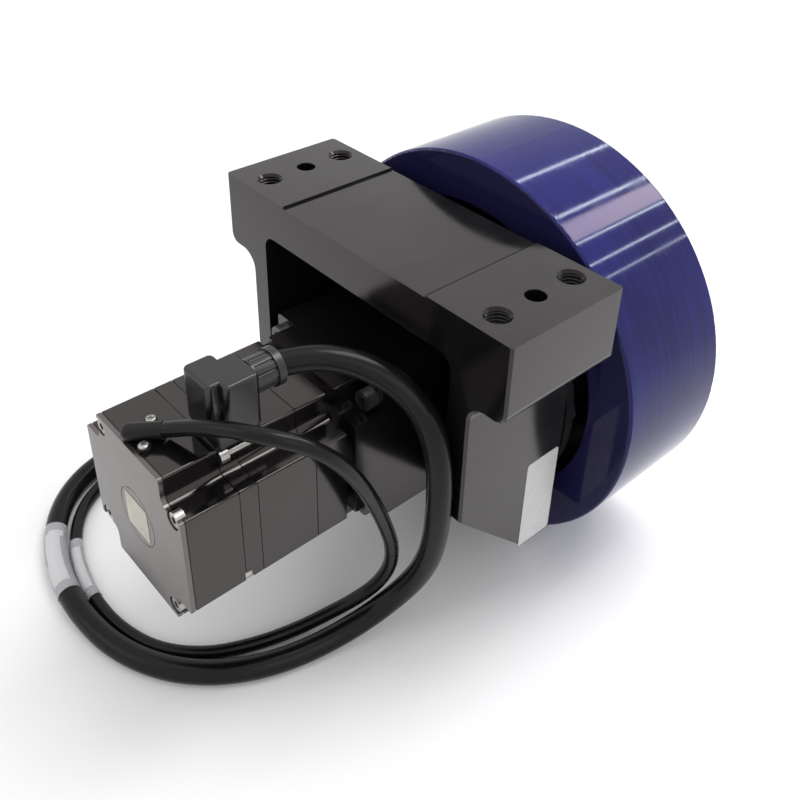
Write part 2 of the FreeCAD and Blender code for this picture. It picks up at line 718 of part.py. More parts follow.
def stator_windings():
    start = stator_middle() - STATOR_LENGTH / 2
    end = stator_middle() + STATOR_LENGTH / 2
    inner = STATOR_BORE_RADIUS + SLOT_WALL + SEAT_GAP
    outer = inner + SLOT_DEPTH - 2 * SEAT_GAP
    pieces = [
        ring(outer, inner, start - WINDING_END, start),
        ring(outer, inner, end, end + WINDING_END),
    ]
    for step in range(STATOR_SLOTS):
        angle = 360.0 * step / STATOR_SLOTS
        width = SLOT_WIDTH - 2 * SEAT_GAP
        bar = slot_shape(width, inner, outer, start - WINDING_END / 2, end + WINDING_END / 2, angle)
        pieces.append(bar)
    return join(pieces)


def magnet_outer():
    return STATOR_BORE_RADIUS - AIR_GAP


def rotor_core():
    radius = magnet_outer() - MAGNET_THICKNESS
    start = stator_middle() - ROTOR_LENGTH / 2
    return ring(radius, SHAFT_RADIUS_CORE + SEAT_GAP, start, start + ROTOR_LENGTH)


def rotor_magnets():
    inner = magnet_outer() - MAGNET_THICKNESS + SEAT_GAP
    start = stator_middle() - ROTOR_LENGTH / 2
    pitch = 360.0 / MAGNET_COUNT
    magnets = []
    for step in range(MAGNET_COUNT):
        sweep = pitch - MAGNET_SPACE_DEG
        piece = Part.makeCylinder(magnet_outer(), ROTOR_LENGTH, point(0, start, 0), ALONG, sweep)
        piece = piece.cut(rod(inner, start, start + ROTOR_LENGTH))
        piece.rotate(point(0, 0, 0), ALONG, pitch * step)
        magnets.append(piece)
    return group(magnets)


def coupling_start():
    return face_screw_seat() + M5[2] + 2 * CLEAR_GAP


def coupling_middle():
    return coupling_start() + COUPLING_LENGTH / 2


def rotor_shaft():
    """Motor shaft: encoder end, rear journal, core, front journal, output end."""
    end = coupling_middle() - SHAFT_END_GAP / 2
    return join([
        rod(ENCODER_SHAFT_RADIUS, BELL_REAR - ENCODER_SHAFT_LENGTH, HOUSING_REAR),
        rod(SHAFT_RADIUS_REAR, HOUSING_REAR - REAR_BEARING[2], HOUSING_REAR),
        rod(SHAFT_RADIUS_CORE, HOUSING_REAR, FLANGE_REAR),
        rod(SHAFT_RADIUS_FRONT, FLANGE_REAR, FLANGE_FRONT),
        rod(SHAFT_RADIUS_END, FLANGE_FRONT, end),
    ])


def shaft_coupling():
    start = coupling_start()
    end = start + COUPLING_LENGTH
    sleeve = ring(COUPLING_RADIUS, SHAFT_RADIUS_END + SEAT_GAP, start, end)
    slit = block((-COUPLING_SLIT / 2, start - OVERRUN, 0),
                 (COUPLING_SLIT / 2, end + OVERRUN, COUPLING_RADIUS + OVERRUN))
    return sleeve.cut(slit)


def bearing(size, start):
    """Sealed bearing as its outer ring with the shields, and its inner ring."""
    bore, outside, width = size
    split = bore + (outside - bore) * INNER_RING_SHARE
    outer = ring(outside, split + RING_GAP / 2, start, start + width)
    inner = ring(split - RING_GAP / 2, bore + SEAT_GAP, start, start + width)
    return outer, inner


def motor_rear_bearing():
    return bearing(REAR_BEARING, HOUSING_REAR - REAR_BEARING[2])


def motor_front_bearing():
    return bearing(FRONT_BEARING, FLANGE_REAR)


def input_bearing():
    return bearing(INPUT_BEARING, BRACKET_BACK - HOUSING_SPIGOT_LENGTH)


def output_bearings():
    first = bearing(OUTPUT_BEARING, OUTPUT_BEARING_START)
    second = bearing(OUTPUT_BEARING, OUTPUT_BEARING_START + OUTPUT_BEARING[2])
    return group([first[0], second[0]]), group([first[1], second[1]])


def encoder_board_front():
    return BELL_REAR - ENCODER_POST_HEIGHT


def encoder_post_places():
    return [on_circle(ENCODER_POST_CIRCLE, ENCODER_POST_ANGLE + 360.0 * step / ENCODER_POSTS)
            for step in range(ENCODER_POSTS)]


def encoder_posts():
    return group([rod(ENCODER_POST_RADIUS, encoder_board_front(), BELL_REAR, x, z)
                  for x, z in encoder_post_places()])


def encoder_board():
    front = encoder_board_front()
    return ring(ENCODER_BOARD_RADIUS, ENCODER_SHAFT_RADIUS + 2 * CLEAR_GAP,
                front - ENCODER_BOARD_THICKNESS, front)


def encoder_disc():
    front = encoder_board_front() - ENCODER_BOARD_THICKNESS - ENCODER_DISC_GAP
    rear = front - ENCODER_DISC_THICKNESS
    disc = rod(ENCODER_DISC_RADIUS, rear, front)
    hub = rod(ENCODER_HUB_RADIUS, rear - ENCODER_DISC_THICKNESS, front + ENCODER_DISC_GAP / 2)
    return join([disc, hub]).cut(rod(ENCODER_SHAFT_RADIUS + SEAT_GAP, LID_REAR, BELL_REAR))


def involute(angle):
    return math.tan(angle) - angle


def gear_face(teeth, tip, root, thickness, first_angle, station):
    """Outline of an involute gear; thickness is the tooth's at the pitch circle."""
    pitch_radius = MODULE * teeth / 2
    base_radius = pitch_radius * math.cos(PRESSURE_ANGLE)
    half_at_pitch = thickness / (2 * pitch_radius)
    flank = []
    low = max(root, base_radius)
    if root < base_radius:
        flank.append((root, half_at_pitch + involute(PRESSURE_ANGLE)))
    for step in range(FLANK_STEPS + 1):
        radius = low + (tip - low) * step / FLANK_STEPS
        here = math.acos(min(1.0, base_radius / radius))
        flank.append((radius, half_at_pitch + involute(PRESSURE_ANGLE) - involute(here)))
    corners = []
    for tooth in range(teeth):
        middle = math.radians(first_angle) + 2 * math.pi * tooth / teeth
        for radius, half in flank:
            corners.append(point(radius * math.cos(middle - half), station,
                                 radius * math.sin(middle - half)))
        for radius, half in reversed(flank):
            corners.append(point(radius * math.cos(middle + half), station,
                                 radius * math.sin(middle + half)))
    corners.append(corners[0])
    return Part.Face(Part.makePolygon(corners))


def tooth_thickness():
    return math.pi * MODULE / 2 - BACKLASH / 2


def sun_gear_shaft():
    """Input shaft from the coupling to the sun gear, cut from one bar."""
    start = coupling_middle() + SHAFT_END_GAP / 2
    journal = BRACKET_BACK - HOUSING_SPIGOT_LENGTH
    journal_end = journal + INPUT_BEARING[2]
    collar_end = journal_end + SUN_COLLAR_WIDTH
    pitch_radius = MODULE * SUN_TEETH / 2
    teeth = gear_face(SUN_TEETH, pitch_radius + ADDENDUM, pitch_radius - DEDENDUM,
                      tooth_thickness(), PLANET_ANGLE, GEAR_START)
    return join([
        rod(SHAFT_RADIUS_END, start, journal),
        rod(INPUT_BEARING[0], journal, journal_end),
        rod(SUN_COLLAR_RADIUS, journal_end, collar_end),
        rod(INPUT_BEARING[0], collar_end, collar_end + INPUT_SEAL_WIDTH),
        rod(SUN_SHAFT_RADIUS, collar_end + INPUT_SEAL_WIDTH, GEAR_START),
        teeth.extrude(point(0, GEAR_WIDTH, 0)),
    ])


def planet_places():
    return [on_circle(CENTRE_DISTANCE, PLANET_ANGLE + 360.0 * step / PLANETS)
            for step in range(PLANETS)]


def planet_gear(step):
    """One planet; a tooth space faces the sun gear's tooth on the line of centres."""
    pitch_radius = MODULE * PLANET_TEETH / 2
    half_pitch = 180.0 / PLANET_TEETH
    face = gear_face(PLANET_TEETH, pitch_radius + ADDENDUM, pitch_radius - DEDENDUM,
                     tooth_thickness(), PLANET_ANGLE + 180.0 + half_pitch, GEAR_START)
    gear = face.extrude(point(0, GEAR_WIDTH, 0))
    gear = gear.cut(rod(PLANET_PIN_RADIUS + RUN_GAP, GEAR_START - OVERRUN, GEAR_END + OVERRUN))
    x, z = on_circle(CENTRE_DISTANCE, PLANET_ANGLE)
    gear.translate(point(x, 0, z))
    gear.rotate(point(0, 0, 0), ALONG, -360.0 * step / PLANETS)
    return gear


def planet_pins():
    start = CASE_CAVITY + PIN_END_GAP
    pins = []
    for x, z in planet_places():
        shank = rod(PLANET_PIN_RADIUS, start, CARRIER_END, x, z)
        collar = rod(PIN_COLLAR_RADIUS, GEAR_END + PIN_CLIP_GAP, CARRIER_START, x, z)
        pins.append(join([shank, collar]))
    return group(pins)


def planet_pin_clips():
    end = GEAR_START - PIN_CLIP_GAP
    start = end - PIN_CLIP_THICKNESS
    return group([ring(PIN_COLLAR_RADIUS, PLANET_PIN_RADIUS + SEAT_GAP, start, end, x, z)
                  for x, z in planet_places()])


def hub_bolt_places():
    return [on_circle(HUB_BOLT_CIRCLE, PLANET_ANGLE + 360.0 * step / HUB_BOLTS)
            for step in range(HUB_BOLTS)]


def hub_bolt_seat():
    return WEB_BACK - M8[2]


def planet_carrier():
    """Carrier plate and output shaft in one piece, with a spigot for the wheel."""
    plate = rod(CARRIER_RADIUS, CARRIER_START, CARRIER_END)
    neck = rod(CARRIER_NECK_RADIUS, CARRIER_END, OUTPUT_BEARING_START)
    shaft = rod(OUTPUT_BEARING[0], OUTPUT_BEARING_START, WEB_FRONT)
    spigot = rod(WEB_SPIGOT_RADIUS, WEB_FRONT, WEB_FRONT + WEB_SPIGOT_LENGTH)
    body = join([plate, neck, shaft, spigot])
    for x, z in planet_places():
        body = body.cut(rod(PLANET_PIN_RADIUS + SEAT_GAP, CARRIER_START, CARRIER_END, x, z))
    for x, z in hub_bolt_places():
        start = hub_bolt_seat() - HUB_BOLT_LENGTH - OVERRUN
        body = body.cut(rod(M8[0] + SEAT_GAP, start, WEB_FRONT, x, z))
    return body


def ring_gear_housing():
    """Gearbox body: mounting flange, front spigot with the bearing seat, and the ring gear."""
    spigot_start = BRACKET_BACK - HOUSING_SPIGOT_LENGTH
    body = join([
        rod(PLATE_BORE_RADIUS - SEAT_GAP, spigot_start, BRACKET_BACK),
        rod(HOUSING_FLANGE_RADIUS, BRACKET_BACK, CASE_FLANGE_BACK),
        rod(HOUSING_RADIUS, CASE_FLANGE_BACK, CASE_BACK),
    ])
    seat_end = spigot_start + INPUT_BEARING[2]
    body = body.cut(rod(INPUT_BEARING[1] + SEAT_GAP, spigot_start, seat_end))
    body = body.cut(rod(INPUT_SHOULDER_RADIUS, seat_end, CASE_CAVITY))
    body = body.cut(rod(HOUSING_BORE, CASE_CAVITY, RING_START))
    body = body.cut(rod(HOUSING_BORE, RING_START + RING_WIDTH, CASE_BACK))
    pitch_radius = MODULE * RING_TEETH / 2
    space = math.pi * MODULE / 2 + BACKLASH / 2
    teeth = gear_face(RING_TEETH, pitch_radius + DEDENDUM, pitch_radius - ADDENDUM,
                      space, PLANET_ANGLE + 180.0 / RING_TEETH, RING_START)
    body = body.cut(teeth.extrude(point(0, RING_WIDTH, 0)))
    for angle in FLANGE_SCREW_ANGLES:
        x, z = on_circle(FLANGE_SCREW_CIRCLE, angle)
        body = body.cut(rod(M6[0] + SCREW_PLAY, BRACKET_BACK, CASE_FLANGE_BACK, x, z))
    for x, z in case_screw_places():
        start = CASE_BACK - BEARING_CASE_GRIP - OVERRUN
        body = body.cut(rod(M5[0] + SEAT_GAP, start, CASE_BACK, x, z))
    return body


def case_screw_places():
    return [on_circle(BEARING_CASE_SCREW_CIRCLE, 360.0 * (step + 0.5) / BEARING_CASE_SCREWS)
            for step in range(BEARING_CASE_SCREWS)]


def output_bearing_case():
    """Closes the gearbox's wheel end and carries the output bearings and seal."""
    flange_end = CASE_BACK + BEARING_CASE_FLANGE
    body = join([
        rod(HOUSING_RADIUS, CASE_BACK, flange_end),
        rod(BEARING_CASE_RADIUS, flange_end, CASE_NOSE),
    ])
    body = body.cut(rod(OUTPUT_SHOULDER_RADIUS, CASE_BACK, OUTPUT_BEARING_START))
    body = body.cut(rod(OUTPUT_BEARING[1] + SEAT_GAP, OUTPUT_BEARING_START, CASE_NOSE))
    for x, z in case_screw_places():
        body = body.cut(rod(M5[0] + SCREW_PLAY, CASE_BACK, flange_end, x, z))
    return body


def case_screws():
    seat = CASE_BACK + BEARING_CASE_FLANGE
    length = BEARING_CASE_FLANGE + BEARING_CASE_GRIP
    return group([cap_screw(M5, x, z, seat, length, -1) for x, z in case_screw_places()])


def gearbox_screws():
    places = [on_circle(FLANGE_SCREW_CIRCLE, angle) for angle in FLANGE_SCREW_ANGLES]
    return group([cap_screw(M6, x, z, CASE_FLANGE_BACK, FLANGE_SCREW_LENGTH, -1)
                  for x, z in places])


def input_seal():
    start = BRACKET_BACK - HOUSING_SPIGOT_LENGTH + INPUT_BEARING[2] + SUN_COLLAR_WIDTH
    return ring(INPUT_SHOULDER_RADIUS - SEAT_GAP, INPUT_BEARING[0] + RING_GAP,
                start, start + INPUT_SEAL_WIDTH)


def output_seal():
    return ring(OUTPUT_BEARING[1], OUTPUT_BEARING[0] + RING_GAP, OUTPUT_BEARING_END, CASE_NOSE)


def wheel_hub():
    """Rim and web in one casting, bolted to the gearbox's output shaft."""
    rim = ring(RIM_RADIUS, RIM_RADIUS - RIM_THICKNESS, TYRE_FRONT + TYRE_LIP, TYRE_BACK)
    web = rod(RIM_RADIUS - RIM_THICKNESS / 2, WEB_FRONT, WEB_BACK)
    body = join([rim, web])
    body = body.cut(ring(WEB_RECESS_OUTER, WEB_RECESS_INNER, WEB_BACK - WEB_RECESS_DEPTH, WEB_BACK))
    body = body.cut(rod(WEB_SPIGOT_RADIUS + SEAT_GAP, WEB_FRONT, WEB_BACK))
    for x, z in hub_bolt_places():
        body = body.cut(rod(M8[0] + SCREW_PLAY, WEB_FRONT, hub_bolt_seat(), x, z))
        body = body.cut(rod(M8[1] + HEAD_POCKET_PLAY, hub_bolt_seat(), WEB_BACK, x, z))
    return body


def tyre():
    tread = rod(WHEEL_RADIUS, TYRE_FRONT, TYRE_BACK)
    corners = [edge for edge in tread.Edges if abs(edge.BoundBox.YLength) < NEAR]
    tread = tread.makeFillet(TYRE_EDGE, corners)
    tread = tread.cut(rod(RIM_RADIUS, TYRE_FRONT + TYRE_LIP, TYRE_BACK + OVERRUN))
    return tread.cut(rod(TYRE_LIP_RADIUS, TYRE_FRONT - OVERRUN, TYRE_BACK))


def hub_bolts():
    return group([cap_screw(M8, x, z, hub_bolt_seat(), HUB_BOLT_LENGTH, -1)
                  for x, z in hub_bolt_places()])


def hub_cap():
    return rod(CAP_RADIUS, WEB_BACK, WEB_BACK + CAP_THICKNESS)


def plug_screw_places():
    near = (PLUG_RIGHT - PLUG_SCREW_INSET, PLUG_REAR + PLUG_SCREW_INSET)
    far = (PLUG_LEFT + PLUG_SCREW_INSET, PLUG_FRONT - PLUG_SCREW_INSET)
    return [near, far]


def rounded_plate(left, right, rear, front, radius, low, high):
    corners = [
        (left, rear, radius),
        (right, rear, radius),
        (right, front, radius),
        (left, front, radius),
    ]
    return outline(corners, "xy", low).extrude(point(0, 0, high - low))


def power_socket():
    low = HALF_SIDE
    high = low + SOCKET_HEIGHT
    base = rounded_plate(PLUG_LEFT + SOCKET_INSET, PLUG_RIGHT - SOCKET_INSET,
                         PLUG_REAR + SOCKET_INSET, PLUG_FRONT - SOCKET_INSET,
                         PLUG_CORNER - SOCKET_INSET, low, high)
    for x, y in plug_screw_places():
        base = base.cut(post(M3[0] + SEAT_GAP, x, y, low, high))
    return base


def power_plug_housing():
    """Angled plug: a flange with a screw at two corners and a stepped body between them."""
    low = HALF_SIDE + SOCKET_HEIGHT
    shelf = low + PLUG_FLANGE
    top = HALF_SIDE + PLUG_TOP
    flange = rounded_plate(PLUG_LEFT, PLUG_RIGHT, PLUG_REAR, PLUG_FRONT, PLUG_CORNER, low, shelf)
    rear_half = rounded_plate(PLUG_LEFT, PLUG_RIGHT - PLUG_WAIST, PLUG_REAR, PLUG_MID_FRONT,
                              PLUG_CORNER, low, top)
    front_half = rounded_plate(PLUG_LEFT + PLUG_WAIST, PLUG_RIGHT, PLUG_MID_REAR, PLUG_FRONT,
                               PLUG_CORNER, low, top)
    upper = join([rear_half, front_half])
    rim = [edge for edge in upper.Edges if edge.BoundBox.ZMin > top - NEAR]
    upper = upper.makeFillet(PLUG_TOP_EDGE, rim)
    body = join([flange, upper])
    for x, y in plug_screw_places():
        body = body.cut(post(M3[0] + SCREW_PLAY, x, y, low, shelf))
        body = body.cut(post(M3[1] + PLUG_WELL_GAP, x, y, shelf, top))
    return body


def stand_screw(size, x, y, seat, length):
    thread, head, height = size
    shank = post(thread, x, y, seat - length, seat)
    cap = post(head, x, y, seat, seat + height)
    return join([shank, cap])


def power_plug_screws():
    seat = HALF_SIDE + SOCKET_HEIGHT + PLUG_FLANGE
    length = PLUG_FLANGE + SOCKET_HEIGHT - CLEAR_GAP
    return group([stand_screw(M3, x, y, seat, length) for x, y in plug_screw_places()])


def power_gland():
    """Ribbed nut and collar that grip the power cable."""
    z = HALF_SIDE + GLAND_HEIGHT
    nut_end = PLUG_FRONT + GLAND_NUT_LENGTH
    nut = rod(GLAND_NUT_RADIUS, PLUG_FRONT, nut_end, GLAND_X, z)
    groove_start = PLUG_FRONT + GLAND_GROOVE_SETBACK
    for step in range(GLAND_RIBS):
        across, up = on_circle(GLAND_NUT_RADIUS, 360.0 * step / GLAND_RIBS)
        nut = nut.cut(rod(GLAND_GROOVE_RADIUS, groove_start, nut_end, GLAND_X + across, z + up))
    collar = rod(GLAND_COLLAR_RADIUS, nut_end, nut_end + GLAND_COLLAR_LENGTH, GLAND_X, z)
    return join([nut, collar])


def boot_axis():
    """Start, direction and length of the encoder boot."""
    start = point(BOOT_START[0], BOOT_START[1], HALF_SIDE + BOOT_START[2])
    end = point(BOOT_END[0], BOOT_END[1], HALF_SIDE + BOOT_END[2])
    run = end - start
    length = run.Length
    run.normalize()
    return start, run, length


def boot_screw_places():
    start, run, length = boot_axis()
    middle = start + run * (length / 2)
    side = point(run.y, -run.x, 0)
    near = middle + side * BOOT_SCREW_NEAR
    far = middle - side * BOOT_SCREW_FAR
    return [(near.x, near.y), (far.x, far.y)]


def encoder_gland():
    start, run, length = boot_axis()
    boot = Part.makeCylinder(BOOT_RADIUS, length, start, run)
    boot = boot.fuse(Part.makeSphere(BOOT_RADIUS, start))
    base_low = HALF_SIDE
    places = boot_screw_places()
    span = math.dist(places[0], places[1])
    base_high = base_low + BOOT_BASE_THICKNESS
    strip = block((0, -BOOT_BASE_RADIUS, base_low), (span, BOOT_BASE_RADIUS, base_high))
    turn = math.degrees(math.atan2(places[1][1] - places[0][1], places[1][0] - places[0][0]))
    strip.rotate(point(0, 0, 0), UP, turn)
    strip.translate(point(places[0][0], places[0][1], 0))
    pieces = [boot, strip]
    for x, y in places:
        pieces.append(post(BOOT_BASE_RADIUS, x, y, base_low, base_high))
    body = join(pieces)
    under = block((-HALF_SIDE, LID_REAR - HALF_SIDE, 0), (HALF_SIDE, PLATE_FRONT, HALF_SIDE))
    body = body.cut(under)
    for x, y in places:
        body = body.cut(post(M3[0] + SCREW_PLAY, x, y, base_low, base_high + OVERRUN))
    return body


def encoder_gland_screws():
    seat = HALF_SIDE + BOOT_BASE_THICKNESS
    return group([stand_screw(M3, x, y, seat, BOOT_BASE_THICKNESS + BOOT_SCREW_LENGTH)
                  for x, y in boot_screw_places()])


def cable(route, diameter):
    """Round cable along straight runs joined by arcs as large as the runs allow."""
    places = [point(*place) for place in route]
    edges = []
    last = places[0]
    radii = []
    for index in range(1, len(places) - 1):
        here = places[index]
        back = places[index - 1] - here
        ahead = places[index + 1] - here
        turn = math.pi - back.getAngle(ahead)
        radius = BEND_SHARE * min(back.Length, ahead.Length) / math.tan(turn / 2)
        radii.append(round(radius, 1))
        reach = radius * math.tan(turn / 2)
        back.normalize()
        ahead.normalize()
        middle = back + ahead
        middle.normalize()
        apex = here + middle * (radius / math.cos(turn / 2) - radius)
        start = here + back * reach
        stop = here + ahead * reach
        edges.append(Part.LineSegment(last, start).toShape())
        edges.append(Part.Arc(start, apex, stop).toShape())
        last = stop
    edges.append(Part.LineSegment(last, places[-1]).toShape())
    path = Part.Wire(edges)
    heading = places[1] - places[0]
    section = Part.Wire(Part.makeCircle(diameter / 2, places[0], heading))
    tube = path.makePipeShell([section], True, False)
    wanted = path.Length * math.pi * diameter ** 2 / 4
    print("length", round(path.Length, 1), "volume share", round(tube.Volume / wanted, 4), "radii", radii)
    return tube


def lead_plug(route, size, diameter):
    """Crimp connector on a cable's far end, in line with the cable's last run."""
    length, width, height = size
    end = route[-1]
    before = route[-2]
    heading = math.degrees(math.atan2(end[1] - before[1], end[0] - before[0]))
    half_width = width / 2
    half_height = height / 2
    mouth_end = LEAD_BOOT_LENGTH + length
    boot = Part.makeCone(diameter / 2 + LEAD_BOOT_WALL, half_height, LEAD_BOOT_LENGTH,
                         point(0, 0, 0), point(1, 0, 0))
    case = rounded_plate(LEAD_BOOT_LENGTH, mouth_end, -half_width, half_width,
                         LEAD_PLUG_CORNER, -half_height, half_height)
    latch_end = mouth_end - LEAD_LATCH_SETBACK
    latch = block((latch_end - LEAD_LATCH_LENGTH, -LEAD_LATCH_WIDTH / 2, half_height),
                  (latch_end, LEAD_LATCH_WIDTH / 2, half_height + LEAD_LATCH_HEIGHT))
    mouth_half_width = half_width - LEAD_MOUTH_WALL
    mouth_half_height = half_height - LEAD_MOUTH_WALL
    mouth = block((mouth_end - LEAD_MOUTH_DEPTH, -mouth_half_width, -mouth_half_height),
                  (mouth_end + OVERRUN, mouth_half_width, mouth_half_height))
    plug = join([boot, case, latch]).cut(mouth)
    plug.rotate(point(0, 0, 0), UP, heading)
    plug.translate(point(*end))
    return plug


def main():
    os.makedirs("parts", exist_ok=True)
    save("bracket", bracket())
    save("motor_rear_lid", motor_rear_lid())
    save("encoder_cover", encoder_cover())
    save("rear_bell", rear_bell())
    save("motor_housing", motor_housing())
    save("motor_front_flange", motor_front_flange())
    save("gearbox_adapter", gearbox_adapter())
    save("lid_screws", lid_screws())
    save("bell_screws", bell_screws())
    save("flange_screws", flange_screws())
    save("adapter_screws", adapter_screws())
    save("stator_core", stator_core())
    save("stator_windings", stator_windings())
    save("rotor_shaft", rotor_shaft())
    save("rotor_core", rotor_core())
    save("rotor_magnets", rotor_magnets())
    save("shaft_coupling", shaft_coupling())
    for name, pair in (
        ("motor_rear_bearing", motor_rear_bearing()),
        ("motor_front_bearing", motor_front_bearing()),
        ("input_bearing", input_bearing()),
        ("output_bearing", output_bearings()),
    ):
        save(name + "_outer", pair[0])
        save(name + "_inner", pair[1])
    save("encoder_posts", encoder_posts())
    save("encoder_board", encoder_board())
    save("encoder_disc", encoder_disc())
    save("sun_gear_shaft", sun_gear_shaft())
    for step in range(PLANETS):
        save("planet_gear_%d" % (step + 1), planet_gear(step))
    save("planet_pins", planet_pins())
    save("planet_pin_clips", planet_pin_clips())
    save("planet_carrier", planet_carrier())
    save("ring_gear_housing", ring_gear_housing())
    save("output_bearing_case", output_bearing_case())
    save("case_screws", case_screws())
    save("gearbox_screws", gearbox_screws())
    save("input_seal", input_seal())
    save("output_seal", output_seal())
    save("wheel_hub", wheel_hub())
    save("tyre", tyre())
    save("hub_bolts", hub_bolts())
    save("hub_cap", hub_cap())
    save("power_socket", power_socket())
    save("power_plug_housing", power_plug_housing())
    save("power_plug_screws", power_plug_screws())
    save("power_gland", power_gland())
    save("encoder_gland", encoder_gland())
    save("encoder_gland_screws", encoder_gland_screws())
    save("power_cable", cable(POWER_ROUTE, POWER_CABLE_DIAMETER), 0)
    save("encoder_cable", cable(ENCODER_ROUTE, ENCODER_CABLE_DIAMETER), 0)
    save("power_lead_plug", lead_plug(POWER_ROUTE, POWER_PLUG_SIZE, POWER_CABLE_DIAMETER), 0)
    save("encoder_lead_plug", lead_plug(ENCODER_ROUTE, ENCODER_PLUG_SIZE, ENCODER_CABLE_DIAMETER), 0)


main()
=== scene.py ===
"""Looks of a powered drive wheel: finishes, cables, sleeves, labels, screws, threads and stage."""

import math

import bpy
from mathutils import Matrix, Vector


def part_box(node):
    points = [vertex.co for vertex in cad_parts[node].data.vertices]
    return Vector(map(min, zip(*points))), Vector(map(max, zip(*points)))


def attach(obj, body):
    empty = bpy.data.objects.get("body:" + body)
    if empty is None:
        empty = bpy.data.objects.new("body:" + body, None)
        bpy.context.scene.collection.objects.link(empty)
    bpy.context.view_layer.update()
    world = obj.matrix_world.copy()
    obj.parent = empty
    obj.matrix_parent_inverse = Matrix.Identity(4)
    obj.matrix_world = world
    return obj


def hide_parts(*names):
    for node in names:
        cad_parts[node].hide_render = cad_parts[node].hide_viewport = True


bl_info = {
    "name": "Powered drive wheel",
    "version": (1, 0, 0),
    "blender": (4, 5, 0),
    "location": "3D View > Sidebar > Drive wheel",
    "description": "Finishes, cables, labels, screws, threads and stage for a drive wheel",
    "category": "Object",
}

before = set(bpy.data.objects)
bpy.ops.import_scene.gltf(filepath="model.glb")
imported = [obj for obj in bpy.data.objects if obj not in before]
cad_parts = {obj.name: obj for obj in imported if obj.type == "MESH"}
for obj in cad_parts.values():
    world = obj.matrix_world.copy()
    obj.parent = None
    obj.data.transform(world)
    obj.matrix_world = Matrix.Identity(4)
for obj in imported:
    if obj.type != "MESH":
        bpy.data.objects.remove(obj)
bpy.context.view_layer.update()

# All lengths are in metres. Places read from the frame
BRACKET_LOW, BRACKET_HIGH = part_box("bracket")
TYRE_LOW, TYRE_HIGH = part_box("tyre")
LID_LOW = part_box("motor_rear_lid")[0]
AXIS_HEIGHT = (TYRE_LOW.z + TYRE_HIGH.z) / 2
FLOOR_HEIGHT = TYRE_LOW.z

# Sizes of the CAD solids that their boxes don't give
SEAT_EDGE = 0.0505
BAR_BACK = 0.034
LEG_FACE = 0.080
TAPPED_RADIUS = 0.0065
DOWEL_RADIUS = 0.005
DOWEL_DEPTH = 0.016
CHASSIS_HOLE_X = 0.080
TAPPED_HOLE_Y = 0.023

# Routes of the two cables, from their glands to the plugs behind the motor
POWER_ROUTE = (
    (0.0175, -0.090, -0.029), (0.0215, -0.0815, -0.028), (0.029, -0.071, -0.0275),
    (0.0385, -0.0605, -0.031), (0.0495, -0.0517, -0.0375), (0.0595, -0.046, -0.047),
    (0.0675, -0.0436, -0.0605), (0.072, -0.043, -0.0775), (0.073, -0.043, -0.101),
    (0.0708, -0.0423, -0.1255), (0.0652, -0.0424, -0.1465), (0.0582, -0.0454, -0.163),
    (0.0513, -0.0519, -0.1765), (0.0457, -0.0628, -0.1865), (0.0407, -0.0788, -0.1925),
    (0.036, -0.0975, -0.1945), (0.029, -0.1175, -0.1945), (0.0165, -0.1375, -0.1945),
    (-0.002, -0.154, -0.1945), (-0.026, -0.165, -0.1945), (-0.052, -0.169, -0.1939),
    (-0.078, -0.168, -0.1939), (-0.101, -0.1625, -0.1939), (-0.121, -0.153, -0.1939),
    (-0.138, -0.139, -0.1945), (-0.1495, -0.1205, -0.1945), (-0.154, -0.099, -0.1945),
    (-0.150, -0.078, -0.194), (-0.1385, -0.0605, -0.1925), (-0.122, -0.047, -0.1925),
)
ENCODER_ROUTE = (
    (0.0055, -0.1386, -0.046), (0.0125, -0.1344, -0.0426), (0.0215, -0.1306, -0.0386),
    (0.0335, -0.1256, -0.034), (0.0455, -0.1195, -0.0322), (0.0545, -0.111, -0.034),
    (0.0605, -0.101, -0.0405), (0.0633, -0.0905, -0.053), (0.063, -0.081, -0.069),
    (0.0605, -0.0715, -0.088), (0.0578, -0.0625, -0.109), (0.055, -0.0545, -0.131),
    (0.0508, -0.0512, -0.1515), (0.0444, -0.0542, -0.1686), (0.0364, -0.0616, -0.1816),
    (0.0284, -0.0744, -0.1908), (0.022, -0.091, -0.196), (0.015, -0.1115, -0.197),
    (0.0044, -0.1325, -0.197), (-0.014, -0.1495, -0.197), (-0.038, -0.1575, -0.197),
    (-0.060, -0.159, -0.1964), (-0.081, -0.1565, -0.1964), (-0.101, -0.1508, -0.1964),
    (-0.1185, -0.1415, -0.197), (-0.1315, -0.1285, -0.197), (-0.1395, -0.112, -0.197),
    (-0.141, -0.094, -0.197), (-0.1335, -0.078, -0.1963), (-0.1195, -0.0685, -0.1945),
    (-0.1025, -0.0655, -0.1945),
)
POWER_LENGTH = 0.579
ENCODER_LENGTH = 0.551
SECTION_STEPS = 7
SPLINE_STEPS = 16

# Middle of each sleeve on its cable, and how far it reaches each way
POWER_SLEEVE_MIDDLE = (-0.0950, -0.1643, -0.1939)
POWER_SLEEVE_HALF = 0.0240
ENCODER_SLEEVE_MIDDLE = (-0.0830, -0.1562, -0.1964)
ENCODER_SLEEVE_HALF = 0.0205
# The sleeves' labels lie round this direction, as far as this cosine of the angle from it
LABEL_FACING = Vector((0.75, -0.35, 0.56)).normalized()
LABEL_REACH = 0.42

# Corners of the thin plates, and width of the dark strip of painted shade along each seat of the
# bracket
LABEL_CORNER = 0.0018
PATCH_CORNER = 0.0012
CORNER_SEGMENTS = 6
SEAT_SHADE_WIDTH = 0.0004

# Notch in the motor's side, through to the pocket of a bell screw
NOTCH_LOW = Vector((0.0352, -0.1258, -0.1195))
NOTCH_HIGH = Vector((0.0410, -0.1215, -0.1112))

